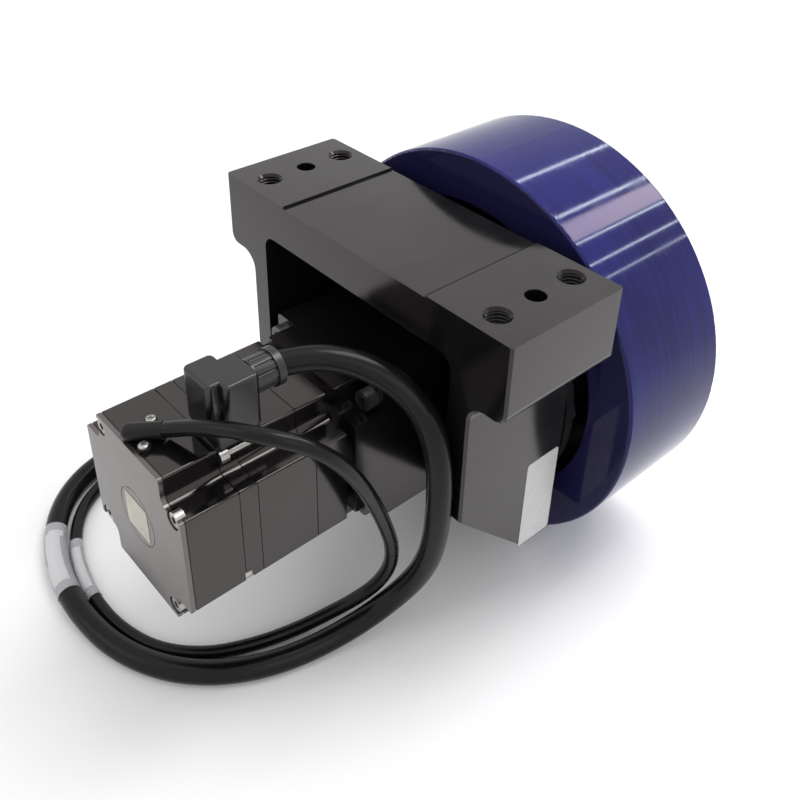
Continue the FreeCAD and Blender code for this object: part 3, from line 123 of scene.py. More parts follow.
# Pan-headed screws that hold the encoder cable's boot, with their turns in degrees
PAN_SIDES = 40
PAN_RADIUS = 0.0024
PAN_HEIGHT = 0.0016
PAN_ROUND = 0.0008
PAN_ROUND_SEGMENTS = 4
PAN_SHANK_RADIUS = 0.0015
PAN_SHANK_LENGTH = 0.0050
CROSS_SPAN = 0.0028
CROSS_WIDTH = 0.0006
CROSS_DEPTH = 0.0008
CROSS_TURNS = (25.0, 65.0)
# Points of one head lie within this distance, and points of its top within this depth
HEAD_REACH = 2.1 * PAN_RADIUS
TOP_DEPTH = PAN_HEIGHT / 10
FLAT_NORMAL = 0.99

# Linings of the chassis holes. The ridge's crest and foot are shares of the thread's pitch
LINING_FIT = 0.00001
THREAD_ROOT_RELIEF = 0.0005
RIDGE_CREST_START = 0.40
RIDGE_CREST_STOP = 0.52
RIDGE_FOOT = 0.92
DOWEL_RELIEF = 0.0002
DOWEL_MOUTH = 0.0003
LATHE_STEPS = 48
MERGE_DISTANCE = 0.000001

# Reflection of the black aluminium and paint, seen head on
WARM_MIRROR = (1.0, 0.90, 0.87)

# Stage colours, and the distances between which the floor turns to plain white
WHITE = (1.0, 1.0, 1.0)
ROSE = (1.0, 0.84, 0.90)
PALE_BLUE = (0.80, 0.90, 1.0)
SKY_GREY = (0.86, 0.86, 0.87)
FLOOR_FADE_START = 0.30
FLOOR_FADE_STOP = 0.75
# Square lamps: name, place, side and power in watts
SOFT_BOXES = (
    ("overhead softbox", (-0.1, -0.1, 1.4), 1.3, 2.5),
    ("side softbox", (1.3, -0.2, 0.7), 0.9, 2.0),
    ("front softbox", (-0.5, -1.3, 0.8), 0.9, 2.0),
)
# Strip lamps that mirror in the tread: place across and up, width, radiance and colour
TREAD_LAMPS = (
    (-0.43, 0.907, 0.026, 22.0, PALE_BLUE),
    (0.133, 1.004, 0.026, 30.0, PALE_BLUE),
    (0.330, 0.970, 0.230, 11.0, ROSE),
    (0.467, 0.914, 0.018, 30.0, PALE_BLUE),
    (0.690, 0.779, 0.016, 30.0, PALE_BLUE),
    (0.826, 0.651, 0.016, 20.0, PALE_BLUE),
)
TREAD_LAMP_Y = 1.17
TREAD_LAMP_LENGTH = 0.62
EDGE_LAMP_PLACE = (0.17, 0.38, 0.95)
EDGE_LAMP_SIZE = (0.42, 0.70)
EDGE_LAMP_RADIANCE = 6.0

# Camera, found from the straight edges of the object in the photograph
CAMERA_PLACE = (0.28751, -0.26747, 0.21591)
CAMERA_AZIMUTH = math.radians(48.05)
CAMERA_ELEVATION = math.radians(31.62)
CAMERA_ROLL = math.radians(1.36)
CAMERA_SHIFT = (0.00924, -0.16256)
CAMERA_NEAR = 0.01
CAMERA_FAR = 50.0
SENSOR_WIDTH = 36.0


def length_property(name, description, default):
    """A setting in metres."""
    return bpy.props.FloatProperty(name=name, description=description, default=default,
                                   min=0.0, subtype="DISTANCE", unit="LENGTH", precision=5)


def colour_property(name, description, default):
    """A colour setting."""
    return bpy.props.FloatVectorProperty(name=name, description=description, default=default,
                                         size=3, min=0.0, max=1.0, subtype="COLOR")


class DriveWheelCables(bpy.types.PropertyGroup):
    """Sizes of the cables and their sleeves"""

    power_diameter: length_property(
        "Power cable", "Outside diameter of the power cable", 0.012)
    encoder_diameter: length_property(
        "Encoder cable", "Outside diameter of the encoder cable", 0.007)
    sleeve_wall: length_property(
        "Sleeve wall", "Wall of the clear sleeves on the cables", 0.0007)
    sleeve_margin: length_property(
        "Sleeve margin", "Clear sleeve past each end of its label", 0.006)


class DriveWheelTrim(bpy.types.PropertyGroup):
    """Sizes of the labels, the lid's patch and the threads"""

    label_width: length_property(
        "Label width", "Blank label on the bracket's leg, along the axis", 0.0225)
    label_height: length_property(
        "Label height", "Blank label on the bracket's leg, upright", 0.0555)
    label_top: length_property(
        "Label drop", "Top of the blank label below the drive axis", 0.0114)
    label_inset: length_property(
        "Label inset", "Blank label's edge from the leg's back face", 0.0020)
    label_thickness: length_property(
        "Label film", "Thickness of the blank label", 0.00018)
    patch_side: length_property(
        "Patch side", "Blank silver patch on the rear lid", 0.019)
    thread_pitch: length_property(
        "Thread pitch", "Pitch of the threads in the chassis holes", 0.00175)
    thread_depth: length_property(
        "Thread depth", "Height of the threads in the chassis holes", 0.0008)
    thread_length: length_property(
        "Thread length", "Threaded length in the chassis holes", 0.021)


class DriveWheelFinish(bpy.types.PropertyGroup):
    """Colours of the outer pieces"""

    bracket_colour: colour_property(
        "Bracket", "Black anodised bracket", (0.0040, 0.0037, 0.0036))
    motor_colour: colour_property(
        "Motor", "Black paint of the motor", (0.0036, 0.0033, 0.0034))
    lid_colour: colour_property(
        "Lid", "Satin rear lid", (0.0160, 0.0140, 0.0115))
    tyre_colour: colour_property(
        "Tyre", "Blue polyurethane of the tyre", (0.0085, 0.0085, 0.0920))
    # The tyre's sides take a darker colour of painted shade
    shaded_side_colour: colour_property(
        "Tyre side shade", "Darker sides of the tyre, as painted shade", (0.0130, 0.0115, 0.0480))
    cable_colour: colour_property(
        "Cable", "Cable jackets", (0.0036, 0.0036, 0.0041))
    label_colour: colour_property(
        "Label", "Blank labels", (0.52, 0.51, 0.505))


class DriveWheelStage(bpy.types.PropertyGroup):
    """Floor and lens"""

    floor_colour: colour_property("Floor", "Pale floor and backdrop", (0.86, 0.86, 0.86))
    floor_size: length_property("Floor size", "Side of the floor", 12.0)
    lens: bpy.props.FloatProperty(name="Lens", description="Focal length in millimetres",
                                  default=42.67, min=10.0)


def settings(group):
    """The scene's settings of one group."""
    return getattr(bpy.context.scene, "drive_wheel_" + group)


def deselect_all():
    """Leave nothing selected."""
    for item in bpy.context.selected_objects:
        item.select_set(False)


def make_active(item):
    """Select one object alone and make it the active one."""
    deselect_all()
    item.select_set(True)
    bpy.context.view_layer.objects.active = item


def settle(item, name):
    """Put a finished piece's place into its mesh and give it its name."""
    make_active(item)
    bpy.ops.object.transform_apply(location=True, rotation=True, scale=True)
    item.name = name
    item.data.name = name
    return item


def apply_modifiers(item):
    """Apply all of a piece's modifiers, from the first to the last."""
    make_active(item)
    for modifier in list(item.modifiers):
        bpy.ops.object.modifier_apply(modifier=modifier.name)


def smooth(item, degrees):
    """Shade a piece smooth, except at edges sharper than an angle."""
    make_active(item)
    bpy.ops.object.shade_smooth_by_angle(angle=math.radians(degrees))


def own_copy(source):
    """Copy of a piece with a mesh of its own."""
    copy = source.copy()
    copy.data = source.data.copy()
    bpy.context.scene.collection.objects.link(copy)
    return copy


def joined(pieces):
    """Join pieces into the first of them."""
    make_active(pieces[0])
    for piece in pieces:
        piece.select_set(True)
    bpy.ops.object.join()
    return pieces[0]


def select_in_edit(piece, kind, chosen):
    """Enter edit mode with only those edges or faces selected that pass a test."""
    bpy.ops.object.mode_set(mode="EDIT")
    bpy.ops.mesh.select_mode(type=kind)
    bpy.ops.mesh.select_all(action="DESELECT")
    bpy.ops.object.mode_set(mode="OBJECT")
    for part in piece.data.edges if kind == "EDGE" else piece.data.polygons:
        part.select = chosen(part)
    bpy.ops.object.mode_set(mode="EDIT")


def face_outward():
    """Turn all faces of the piece in edit mode outward, and leave edit mode."""
    bpy.ops.mesh.select_all(action="SELECT")
    bpy.ops.mesh.normals_make_consistent(inside=False)
    bpy.ops.object.mode_set(mode="OBJECT")


def box_piece(name, centre, size):
    """Box with its place and size in its mesh."""
    deselect_all()
    bpy.ops.mesh.primitive_cube_add(size=1.0, location=centre)
    box = bpy.context.view_layer.objects.active
    box.scale = size
    return settle(box, name)


def cut_box(piece, centre, size):
    """Take a box out of a piece."""
    cutter = box_piece("cutter", centre, size)
    cut = piece.modifiers.new("cut", "BOOLEAN")
    cut.operation = "DIFFERENCE"
    cut.solver = "EXACT"
    cut.object = cutter
    apply_modifiers(piece)
    bpy.data.objects.remove(cutter)


def rounded_plate(name, centre, size, corner, normal_axis):
    """Thin plate with rounded corners, shaped from a cube in edit mode."""
    plate = box_piece(name, centre, size)

    def goes_through(edge):
        start, end = (plate.data.vertices[index].co for index in edge.vertices)
        return abs((end - start)[normal_axis]) > (end - start).length / 2

    select_in_edit(plate, "EDGE", goes_through)
    bpy.ops.mesh.bevel(offset=corner, segments=CORNER_SEGMENTS, affect="EDGES")
    face_outward()
    return plate


def lathed(name, section, rise=0.0, turns=1):
    """Turn a closed section, given as radius and height, about the upright axis."""
    deselect_all()
    bpy.ops.mesh.primitive_circle_add(vertices=len(section), radius=1.0)
    ring = bpy.context.view_layer.objects.active
    for vertex, (across, up) in zip(ring.data.vertices, section):
        vertex.co = (across, 0.0, up)
    turner = ring.modifiers.new("turn", "SCREW")
    turner.axis = "Z"
    turner.angle = 2.0 * math.pi
    turner.screw_offset = rise
    turner.iterations = turns
    turner.steps = LATHE_STEPS
    turner.render_steps = LATHE_STEPS
    turner.use_merge_vertices = rise == 0.0
    turner.merge_threshold = MERGE_DISTANCE
    apply_modifiers(ring)
    bpy.ops.object.mode_set(mode="EDIT")
    bpy.ops.mesh.select_all(action="SELECT")
    bpy.ops.mesh.fill_holes(sides=len(section))
    face_outward()
    ring.name = name
    return ring


class Finish:
    """One material's nodes, with a short call for each kind of node that the finishes use."""

    def __init__(self, name, colour, roughness, ior, metallic=0.0):
        self.material = bpy.data.materials.new(name)
        self.material.use_nodes = True
        self.nodes = self.material.node_tree.nodes
        self.links = self.material.node_tree.links
        self.shader = self.nodes["Principled BSDF"]
        self.shader.inputs["Base Color"].default_value = (*colour, 1.0)
        self.shader.inputs["Roughness"].default_value = roughness
        self.shader.inputs["IOR"].default_value = ior
        self.shader.inputs["Metallic"].default_value = metallic
        spot = self.nodes.new("ShaderNodeTexCoord")
        self.place = spot.outputs["Object"]
        self.normal = spot.outputs["Normal"]

    def noise(self, scale, detail, stretch=(1.0, 1.0, 1.0)):
        """Noise on the object's coordinates, drawn out along an axis whose stretch is below 1."""
        mapping = self.nodes.new("ShaderNodeMapping")
        mapping.inputs["Scale"].default_value = stretch
        self.links.new(self.place, mapping.inputs["Vector"])
        texture = self.nodes.new("ShaderNodeTexNoise")
        texture.inputs["Scale"].default_value = scale
        texture.inputs["Detail"].default_value = detail
        self.links.new(mapping.outputs["Vector"], texture.inputs["Vector"])
        return texture.outputs["Fac"]

    def spread(self, value, low, high, start=0.3, stop=0.7):
        """Carry a noise value from its usual range to a range of another quantity."""
        node = self.nodes.new("ShaderNodeMapRange")
        node.inputs["From Min"].default_value = start
        node.inputs["From Max"].default_value = stop
        node.inputs["To Min"].default_value = low
        node.inputs["To Max"].default_value = high
        self.links.new(value, node.inputs["Value"])
        return node.outputs["Result"]

    def math(self, operation, first, second):
        """Work with two values, each of them an output or a plain number."""
        node = self.nodes.new("ShaderNodeMath")
        node.operation = operation
        for socket, value in zip(node.inputs, (first, second)):
            if isinstance(value, float):
                socket.default_value = value
            else:
                self.links.new(value, socket)
        return node.outputs["Value"]

    def blend(self, first, share, second):
        """A share of one value with the rest from another."""
        return self.math("ADD", self.math("MULTIPLY", first, share),
                         self.math("MULTIPLY", second, 1.0 - share))

    def size_along(self, vector, axis):
        """A vector's part along one axis, without its sign."""
        node = self.nodes.new("ShaderNodeSeparateXYZ")
        self.links.new(vector, node.inputs["Vector"])
        return self.math("ABSOLUTE", node.outputs[axis], 0.0)

    def ramp(self, value, *stops):
        """Colour that changes with a value between the stops."""
        node = self.nodes.new("ShaderNodeValToRGB")
        for element, (position, colour) in zip(node.color_ramp.elements, stops):
            element.position = position
            element.color = (*colour, 1.0)
        self.links.new(value, node.inputs["Fac"])
        return node.outputs["Color"]

    def mixed(self, share, first, second):
        """Mix of two colours by a share of the second."""
        node = self.nodes.new("ShaderNodeMix")
        node.data_type = "RGBA"
        self.links.new(share, node.inputs["Factor"])
        self.links.new(first, node.inputs["A"])
        self.links.new(second, node.inputs["B"])
        return node.outputs["Result"]

    def tint(self, colour):
        """Colour the reflection as seen head on."""
        self.shader.inputs["Specular Tint"].default_value = (*colour, 1.0)

    def colour(self, output):
        """Colour the surface by an output."""
        self.links.new(output, self.shader.inputs["Base Color"])

    def roughness(self, output):
        """Roughen the surface by an output."""
        self.links.new(output, self.shader.inputs["Roughness"])

    def bump(self, height, distance, strength):
        """Add a layer of relief over those already there."""
        node = self.nodes.new("ShaderNodeBump")
        node.inputs["Strength"].default_value = strength
        node.inputs["Distance"].default_value = distance
        self.links.new(height, node.inputs["Height"])
        socket = self.shader.inputs["Normal"]
        if socket.is_linked:
            self.links.new(socket.links[0].from_socket, node.inputs["Normal"])
        self.links.new(node.outputs["Normal"], socket)


def lighter(colour, share):
    """A colour times a factor, which may also be below 1."""
    return tuple(min(1.0, part * share) for part in colour)


def anodised(name, colour, roughness, ior, dust=0.010, seats=False):
    """Fine-milled, black anodised aluminium that mirrors its surroundings, with faint smudges.

    The lighter smudges lie on all faces but those across the drive axis, which stay darker.
    """
    finish = Finish(name, colour, roughness, ior)
    finish.tint(WARM_MIRROR)
    clouds = finish.noise(scale=17.0, detail=5.0)
    wipes = finish.noise(scale=60.0, detail=3.0, stretch=(1.0, 0.3, 1.0))
    tone = finish.blend(clouds, 0.65, wipes)
    # Faces across the drive axis take none of the lighter smudges and stay darker
    across = finish.size_along(finish.normal, "Y")
    off_axis_face = finish.spread(across, 1.0, 0.0, start=0.1, stop=0.6)
    smudges = finish.spread(tone, 0.0, 1.0, start=0.40, stop=0.66)
    film = finish.math("MULTIPLY", smudges, off_axis_face)
    if seats:
        # The ground seats of the bar are a shade brighter than the milled middle
        along = finish.size_along(finish.place, "X")
        seat = finish.spread(along, 0.0, 0.35, start=SEAT_EDGE, stop=SEAT_EDGE + 0.0001)
        film = finish.math("ADD", film, finish.math("MULTIPLY", seat, off_axis_face))
    dusty = tuple(part + dust for part in colour)
    finish.colour(finish.ramp(film, (0.0, colour), (1.0, dusty)))
    finish.roughness(finish.spread(tone, roughness * 0.75, roughness * 1.35))
    finish.bump(finish.noise(scale=2600.0, detail=1.0), distance=0.00002, strength=0.35)
    return finish.material


def gloss_paint(name, colour, roughness, ior):
    """Smooth black paint that shows sharp highlights, with a trace of orange peel and dust."""
    finish = Finish(name, colour, roughness, ior)
    finish.tint(WARM_MIRROR)
    dust = finish.noise(scale=900.0, detail=3.0)
    haze = finish.noise(scale=35.0, detail=3.0)
    finish.colour(finish.ramp(dust, (0.50, colour), (0.85, lighter(colour, 3.0))))
    finish.roughness(finish.spread(haze, roughness * 0.75, roughness * 1.4))
    finish.bump(finish.noise(scale=420.0, detail=2.0), distance=0.00003, strength=0.25)
    return finish.material


def bright_steel(name, colour, roughness):
    """Turned or plated steel with fine circumferential marks and small stains."""
    finish = Finish(name, colour, roughness, 1.5, metallic=1.0)
    marks = finish.noise(scale=1800.0, detail=2.0, stretch=(1.0, 0.05, 1.0))
    stains = finish.noise(scale=160.0, detail=3.0)
    finish.colour(finish.ramp(stains, (0.3, lighter(colour, 0.72)), (0.7, colour)))
    finish.roughness(finish.spread(marks, roughness * 0.75, roughness * 1.3))
    finish.bump(marks, distance=0.00003, strength=0.4)
    return finish.material


def blackened_steel(name, colour, roughness, ior=1.7):
    """Oiled black oxide with a fine grain."""
    finish = Finish(name, colour, roughness, ior)
    oil = finish.noise(scale=240.0, detail=3.0)
    finish.colour(finish.ramp(oil, (0.35, colour), (0.75, lighter(colour, 2.0))))
    finish.roughness(finish.spread(oil, roughness * 0.7, roughness * 1.3))
    finish.bump(finish.noise(scale=2600.0, detail=1.0), distance=0.00004, strength=0.4)
    return finish.material


def turned_polyurethane(name, colour, shaded_side_colour):
    """Deep blue moulded polyurethane, glossy, with fine turning marks round the tread and painted
    shade on its sides.
    """
    finish = Finish(name, colour, 0.10, 1.30)
    depth = finish.noise(scale=14.0, detail=3.0)
    streaks = finish.noise(scale=520.0, detail=4.0, stretch=(0.03, 1.0, 0.03))
    fine = finish.noise(scale=1500.0, detail=2.0, stretch=(0.02, 1.0, 0.02))
    scuffs = finish.noise(scale=120.0, detail=5.0, stretch=(1.0, 0.35, 1.0))
    tone = finish.blend(depth, 0.55, streaks)
    tread = finish.ramp(tone, (0.38, lighter(colour, 0.70)), (0.62, lighter(colour, 1.30)))
    # Painted shade: the sides, whose normals lie along the axis, take a darker, greyer colour
    painted_side_shade = finish.ramp(tone, (0.34, lighter(shaded_side_colour, 0.85)),
                       (0.66, lighter(shaded_side_colour, 1.15)))
    across = finish.size_along(finish.normal, "Y")
    side = finish.spread(across, 0.0, 1.0, start=0.80, stop=0.97)
    finish.colour(finish.mixed(side, tread, painted_side_shade))
    finish.roughness(finish.math("ADD", finish.spread(streaks, 0.05, 0.10),
                                 finish.spread(scuffs, 0.0, 0.07, start=0.5, stop=0.75)))
    finish.bump(streaks, distance=0.00008, strength=0.30)
    finish.bump(fine, distance=0.00002, strength=0.35)
    return finish.material


def moulded_plastic(name, colour, roughness, ior=1.5):
    """Black moulding with a fine, even grain."""
    finish = Finish(name, colour, roughness, ior)
    grain = finish.noise(scale=3200.0, detail=2.0)
    worn = finish.noise(scale=70.0, detail=3.0)
    finish.colour(finish.ramp(worn, (0.3, colour), (0.8, lighter(colour, 1.7))))
    finish.roughness(finish.spread(worn, roughness * 0.8, roughness * 1.25))
    finish.bump(grain, distance=0.00002, strength=0.4)
    return finish.material


def cable_jacket(name, colour):
    """Satin extruded jacket with a fine grain and rubbed patches."""
    finish = Finish(name, colour, 0.26, 1.29)
    grain = finish.noise(scale=1300.0, detail=3.0)
    rub = finish.noise(scale=60.0, detail=3.0)
    finish.colour(finish.ramp(rub, (0.3, colour), (0.75, lighter(colour, 1.8))))
    finish.roughness(finish.spread(rub, 0.19, 0.30))
    finish.bump(grain, distance=0.00005, strength=0.5)
    return finish.material


def clear_film(name):
    """Shrunk clear sleeve, slightly milky."""
    finish = Finish(name, (0.80, 0.81, 0.83), 0.12, 1.45)
    haze = finish.noise(scale=300.0, detail=3.0)
    finish.roughness(finish.spread(haze, 0.08, 0.22))
    finish.bump(finish.noise(scale=500.0, detail=2.0), distance=0.0001, strength=0.3)
    finish.shader.inputs["Alpha"].default_value = 0.27
    return finish.material


def label_stock(name, colour, roughness=0.35):
    """Coated pale label stock with a soft paper tone."""
    finish = Finish(name, colour, roughness, 1.45)
    fibre = finish.noise(scale=900.0, detail=4.0)
    tone = finish.noise(scale=55.0, detail=2.0)
    paper = finish.blend(fibre, 0.35, tone)
    finish.colour(finish.ramp(paper, (0.3, lighter(colour, 0.88)), (0.7, lighter(colour, 1.06))))
    finish.roughness(finish.spread(tone, roughness - 0.05, roughness + 0.1))
    finish.bump(fibre, distance=0.00003, strength=0.4)
    return finish.material


def silver_film(name):
    """Metallised film with soft creases."""
    finish = Finish(name, (0.50, 0.48, 0.42), 0.3, 1.5, metallic=1.0)
    crease = finish.noise(scale=140.0, detail=4.0)
    finish.colour(finish.ramp(crease, (0.3, (0.38, 0.36, 0.30)), (0.7, (0.57, 0.54, 0.46))))
    finish.roughness(finish.spread(crease, 0.24, 0.42))
    finish.bump(crease, distance=0.0001, strength=0.3)
    return finish.material


def simple_metal(name, colour, roughness, metallic=1.0):
    """Inner metal pieces: an even tone with a little wear."""
    finish = Finish(name, colour, roughness, 1.5, metallic)
    wear = finish.noise(scale=200.0, detail=3.0)
    finish.colour(finish.ramp(wear, (0.3, lighter(colour, 0.8)), (0.7, lighter(colour, 1.15))))
    finish.roughness(finish.spread(wear, roughness * 0.8, roughness * 1.25))
    finish.bump(finish.noise(scale=1500.0, detail=2.0), distance=0.00004, strength=0.4)
    return finish.material


def finish_table():
    """Each finish with the CAD nodes that it goes on."""
    colours = settings("finish")
    inner_black = lighter(colours.bracket_colour, 1.4)
    bracket = anodised("black anodised bracket", colours.bracket_colour, 0.14, 1.52,
                       dust=0.008, seats=True)
    lid = anodised("satin lid", colours.lid_colour, 0.20, 2.10, dust=0.012)
    motor = gloss_paint("gloss motor paint", colours.motor_colour, 0.11, 1.60)
    adapter = anodised("black adapter", colours.bracket_colour, 0.15, 1.55, dust=0.003)
    gearbox = anodised("black gearbox", inner_black, 0.26, 1.55)
    hub = anodised("black hub", inner_black, 0.20, 1.60)
    zinc = bright_steel("zinc plated screws", (0.46, 0.45, 0.43), 0.30)
    oxide = blackened_steel("blackened screws", (0.010, 0.010, 0.011), 0.34)
    ground = bright_steel("ground steel", (0.55, 0.56, 0.58), 0.22)
    gears = bright_steel("case hardened steel", (0.30, 0.30, 0.31), 0.34)
    laminated = simple_metal("laminated core", (0.24, 0.24, 0.25), 0.45)
    copper = simple_metal("enamelled copper", (0.52, 0.20, 0.08), 0.30)
    magnets = simple_metal("nickel plated magnets", (0.36, 0.36, 0.35), 0.30)
    board = simple_metal("green circuit board", (0.01, 0.10, 0.035), 0.35, metallic=0.0)
    rubber = moulded_plastic("seal rubber", (0.013, 0.013, 0.013), 0.55)
    plastic = moulded_plastic("moulded plastic", (0.0044, 0.0044, 0.0056), 0.30, 1.56)
    boot = moulded_plastic("soft boot", (0.0050, 0.0050, 0.0052), 0.34, 1.30)
    tyre = turned_polyurethane("blue polyurethane", colours.tyre_colour, colours.shaded_side_colour)
    return (
        (bracket, ("bracket",)),
        (lid, ("motor_rear_lid",)),
        (motor, ("encoder_cover", "rear_bell", "motor_housing", "motor_front_flange")),
        (adapter, ("gearbox_adapter", "shaft_coupling", "encoder_disc")),
        (gearbox, ("ring_gear_housing", "output_bearing_case")),
        (hub, ("wheel_hub", "hub_cap")),
        (zinc, ("lid_screws", "bell_screws", "encoder_posts", "hub_bolts", "case_screws",
                "power_plug_screws", "encoder_gland_screws")),
        (oxide, ("flange_screws", "adapter_screws", "gearbox_screws")),
        (ground, ("rotor_shaft", "planet_pins", "planet_pin_clips",
                  "motor_rear_bearing_outer", "motor_rear_bearing_inner",
                  "motor_front_bearing_outer", "motor_front_bearing_inner",
                  "input_bearing_outer", "input_bearing_inner",
                  "output_bearing_outer", "output_bearing_inner")),
        (gears, ("sun_gear_shaft", "planet_gear_1", "planet_gear_2", "planet_gear_3",
                 "planet_carrier")),
        (laminated, ("stator_core", "rotor_core")),
        (copper, ("stator_windings",)),
        (magnets, ("rotor_magnets",)),
        (board, ("encoder_board",)),
        (rubber, ("input_seal", "output_seal")),
        (plastic, ("power_socket", "power_plug_housing", "power_gland",
                   "power_lead_plug", "encoder_lead_plug")),
        (boot, ("encoder_gland",)),
        (tyre, ("tyre",)),
    )


def curve_piece(name, kind, places):
    """Curve with one spline, of the given kind, whose points are the places."""
    data = bpy.data.curves.new(name, "CURVE")
    data.dimensions = "3D"
    data.resolution_u = SPLINE_STEPS
    data.bevel_resolution = SECTION_STEPS
    spline = data.splines.new(kind)
    spline.points.add(len(places) - 1)
    for spot, place in zip(spline.points, places):
        spot.co = (*place, 1.0)
    curve = bpy.data.objects.new(name, data)
    bpy.context.scene.collection.objects.link(curve)
    return curve


def cord_curve(name, route, diameter):
    """One open NURBS spline along the route, with a round section unless its diameter is 0."""
    cord = curve_piece(name, "NURBS", route)
    spline = cord.data.splines[0]
    spline.order_u = 3
    spline.use_endpoint_u = True
    if diameter:
        cord.data.bevel_depth = diameter / 2
        cord.data.use_fill_caps = True
    return cord


def route_points(route):
    """Points along the route's own spline."""
    line = cord_curve("route", route, 0.0)
    mesh = bpy.data.meshes.new_from_object(line)
    places = [vertex.co.copy() for vertex in mesh.vertices]
    bpy.data.objects.remove(line)
    bpy.data.meshes.remove(mesh)
    return places


def stretch_of(places, middle, half):
    """The part of a line of points within half a length of its middle, both ways."""
    centre = min(range(len(places)), key=lambda spot: (places[spot] - Vector(middle)).length)
    ends = []
    for step in (-1, 1):
        gone = 0.0
        index = centre
        while 0 < index < len(places) - 1 and gone < half:
            gone += (places[index + step] - places[index]).length
            index += step
        ends.append(index)
    return places[ends[0]:ends[1] + 1]


def tube_along(name, places, radius, wall, facing=None):
    """Thin tube that follows points of a cable, or only the part of it that faces one way."""
    curve = curve_piece(name, "POLY", places)
    curve.data.bevel_depth = radius
    make_active(curve)
    bpy.ops.object.convert(target="MESH")
    tube = bpy.context.view_layer.objects.active
    if facing is not None:
        select_in_edit(tube, "FACE", lambda face: face.normal.dot(facing) < LABEL_REACH)
        bpy.ops.mesh.delete(type="FACE")
        bpy.ops.object.mode_set(mode="OBJECT")
    solid = tube.modifiers.new("wall", "SOLIDIFY")
    solid.thickness = wall
    solid.offset = 1.0
    apply_modifiers(tube)
    return tube


class DRIVEWHEEL_OT_cables(bpy.types.Operator):
    """Lay the two cables along their routes"""

    bl_idname = "drive_wheel.cables"
    bl_label = "Cables"

    def execute(self, context):
        sizes = settings("cables")
        jacket = cable_jacket("cable jacket", settings("finish").cable_colour)
        for name, route, diameter in (
            ("power_cord", POWER_ROUTE, sizes.power_diameter),
            ("encoder_cord", ENCODER_ROUTE, sizes.encoder_diameter),
        ):
            cord = cord_curve(name, route, diameter)
            cord.data.materials.append(jacket)
        return {"FINISHED"}


class DRIVEWHEEL_OT_sleeves(bpy.types.Operator):
    bl_idname = "drive_wheel.sleeves"
    bl_label = "Cable sleeves"

    def execute(self, context):
        sizes = settings("cables")
        wall = sizes.sleeve_wall
        film = clear_film("clear sleeve")
        paper = label_stock("sleeve label", settings("finish").label_colour)
        plans = (
            ("power", POWER_ROUTE, sizes.power_diameter, POWER_LENGTH, "power_cable",
             POWER_SLEEVE_MIDDLE, POWER_SLEEVE_HALF),
            ("encoder", ENCODER_ROUTE, sizes.encoder_diameter, ENCODER_LENGTH, "encoder_cable",
             ENCODER_SLEEVE_MIDDLE, ENCODER_SLEEVE_HALF),
        )
        for name, route, diameter, length, node, middle, half in plans:
            places = route_points(route)
            label = tube_along(name + "_sleeve_label",
                               stretch_of(places, middle, half - sizes.sleeve_margin),
                               diameter / 2, wall / 3, LABEL_FACING)
            label.data.materials.append(paper)
            sleeve = tube_along(name + "_sleeve", stretch_of(places, middle, half),
                                diameter / 2 + wall / 2, wall / 2)
            sleeve.data.materials.append(film)
            for piece in (label, sleeve):
                smooth(piece, degrees=40.0)
                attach(piece, "root")
            cord = bpy.data.objects[name + "_cord"]
            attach(cord, "root")
            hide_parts(node)
        return {"FINISHED"}


class DRIVEWHEEL_OT_finishes(bpy.types.Operator):
    """Give every CAD piece its finish"""

    bl_idname = "drive_wheel.finishes"
    bl_label = "Finishes"

    def execute(self, context):
        for material, names in finish_table():
            for name in names:
                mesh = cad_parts[name].data
                mesh.materials.clear()
                mesh.materials.append(material)
        return {"FINISHED"}


class DRIVEWHEEL_OT_label(bpy.types.Operator):
    """Stick the blank label on the side of the bracket's leg"""

    bl_idname = "drive_wheel.label"
    bl_label = "Blank side label"

    def execute(self, context):
        trim = settings("trim")
        back = BRACKET_HIGH.y - trim.label_inset
        top = AXIS_HEIGHT - trim.label_top
        centre = (LEG_FACE + trim.label_thickness / 2, back - trim.label_width / 2,
                  top - trim.label_height / 2)
        size = (trim.label_thickness, trim.label_width, trim.label_height)
        label = rounded_plate("side_label", centre, size, LABEL_CORNER, 0)
        label.data.materials.append(
            label_stock("side label", settings("finish").label_colour, 0.28))
        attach(label, "root")
        return {"FINISHED"}


class DRIVEWHEEL_OT_painted_seat_shade(bpy.types.Operator):
    """Draw a dark strip of painted shade along the inner edge of each of the bracket's seats"""

    bl_idname = "drive_wheel.seat_edges"
    bl_label = "Painted seat shade"

    def execute(self, context):
        rise = settings("trim").label_thickness / 4
        length = BAR_BACK - BRACKET_LOW.y - SEAT_SHADE_WIDTH
        # Painted shade: a dark strip where the seat's low step would cast its shade
        shade = anodised("painted seat shade strip", (0.0012, 0.0011, 0.0011), 0.45, 1.12, dust=0.001)
        for side, name in ((-1.0, "seat_shade_left"), (1.0, "seat_shade_right")):
            across = side * (SEAT_EDGE + SEAT_SHADE_WIDTH / 2)
            centre = (across, (BRACKET_LOW.y + BAR_BACK) / 2, rise / 2)
            edge = rounded_plate(name, centre, (SEAT_SHADE_WIDTH, length, rise),
                                 SEAT_SHADE_WIDTH / 4, 2)
            edge.data.materials.append(shade)
            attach(edge, "root")
        return {"FINISHED"}


class DRIVEWHEEL_OT_patch(bpy.types.Operator):
    """Stick the blank silver patch on the rear lid"""

    bl_idname = "drive_wheel.patch"
    bl_label = "Blank lid patch"

    def execute(self, context):
        trim = settings("trim")
        thickness = trim.label_thickness
        centre = (0.0, LID_LOW.y - thickness / 2, AXIS_HEIGHT)
        size = (trim.patch_side, thickness, trim.patch_side)
        patch = rounded_plate("lid_patch", centre, size, PATCH_CORNER, 1)
        patch.data.materials.append(silver_film("silver film"))
        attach(patch, "root")
        return {"FINISHED"}


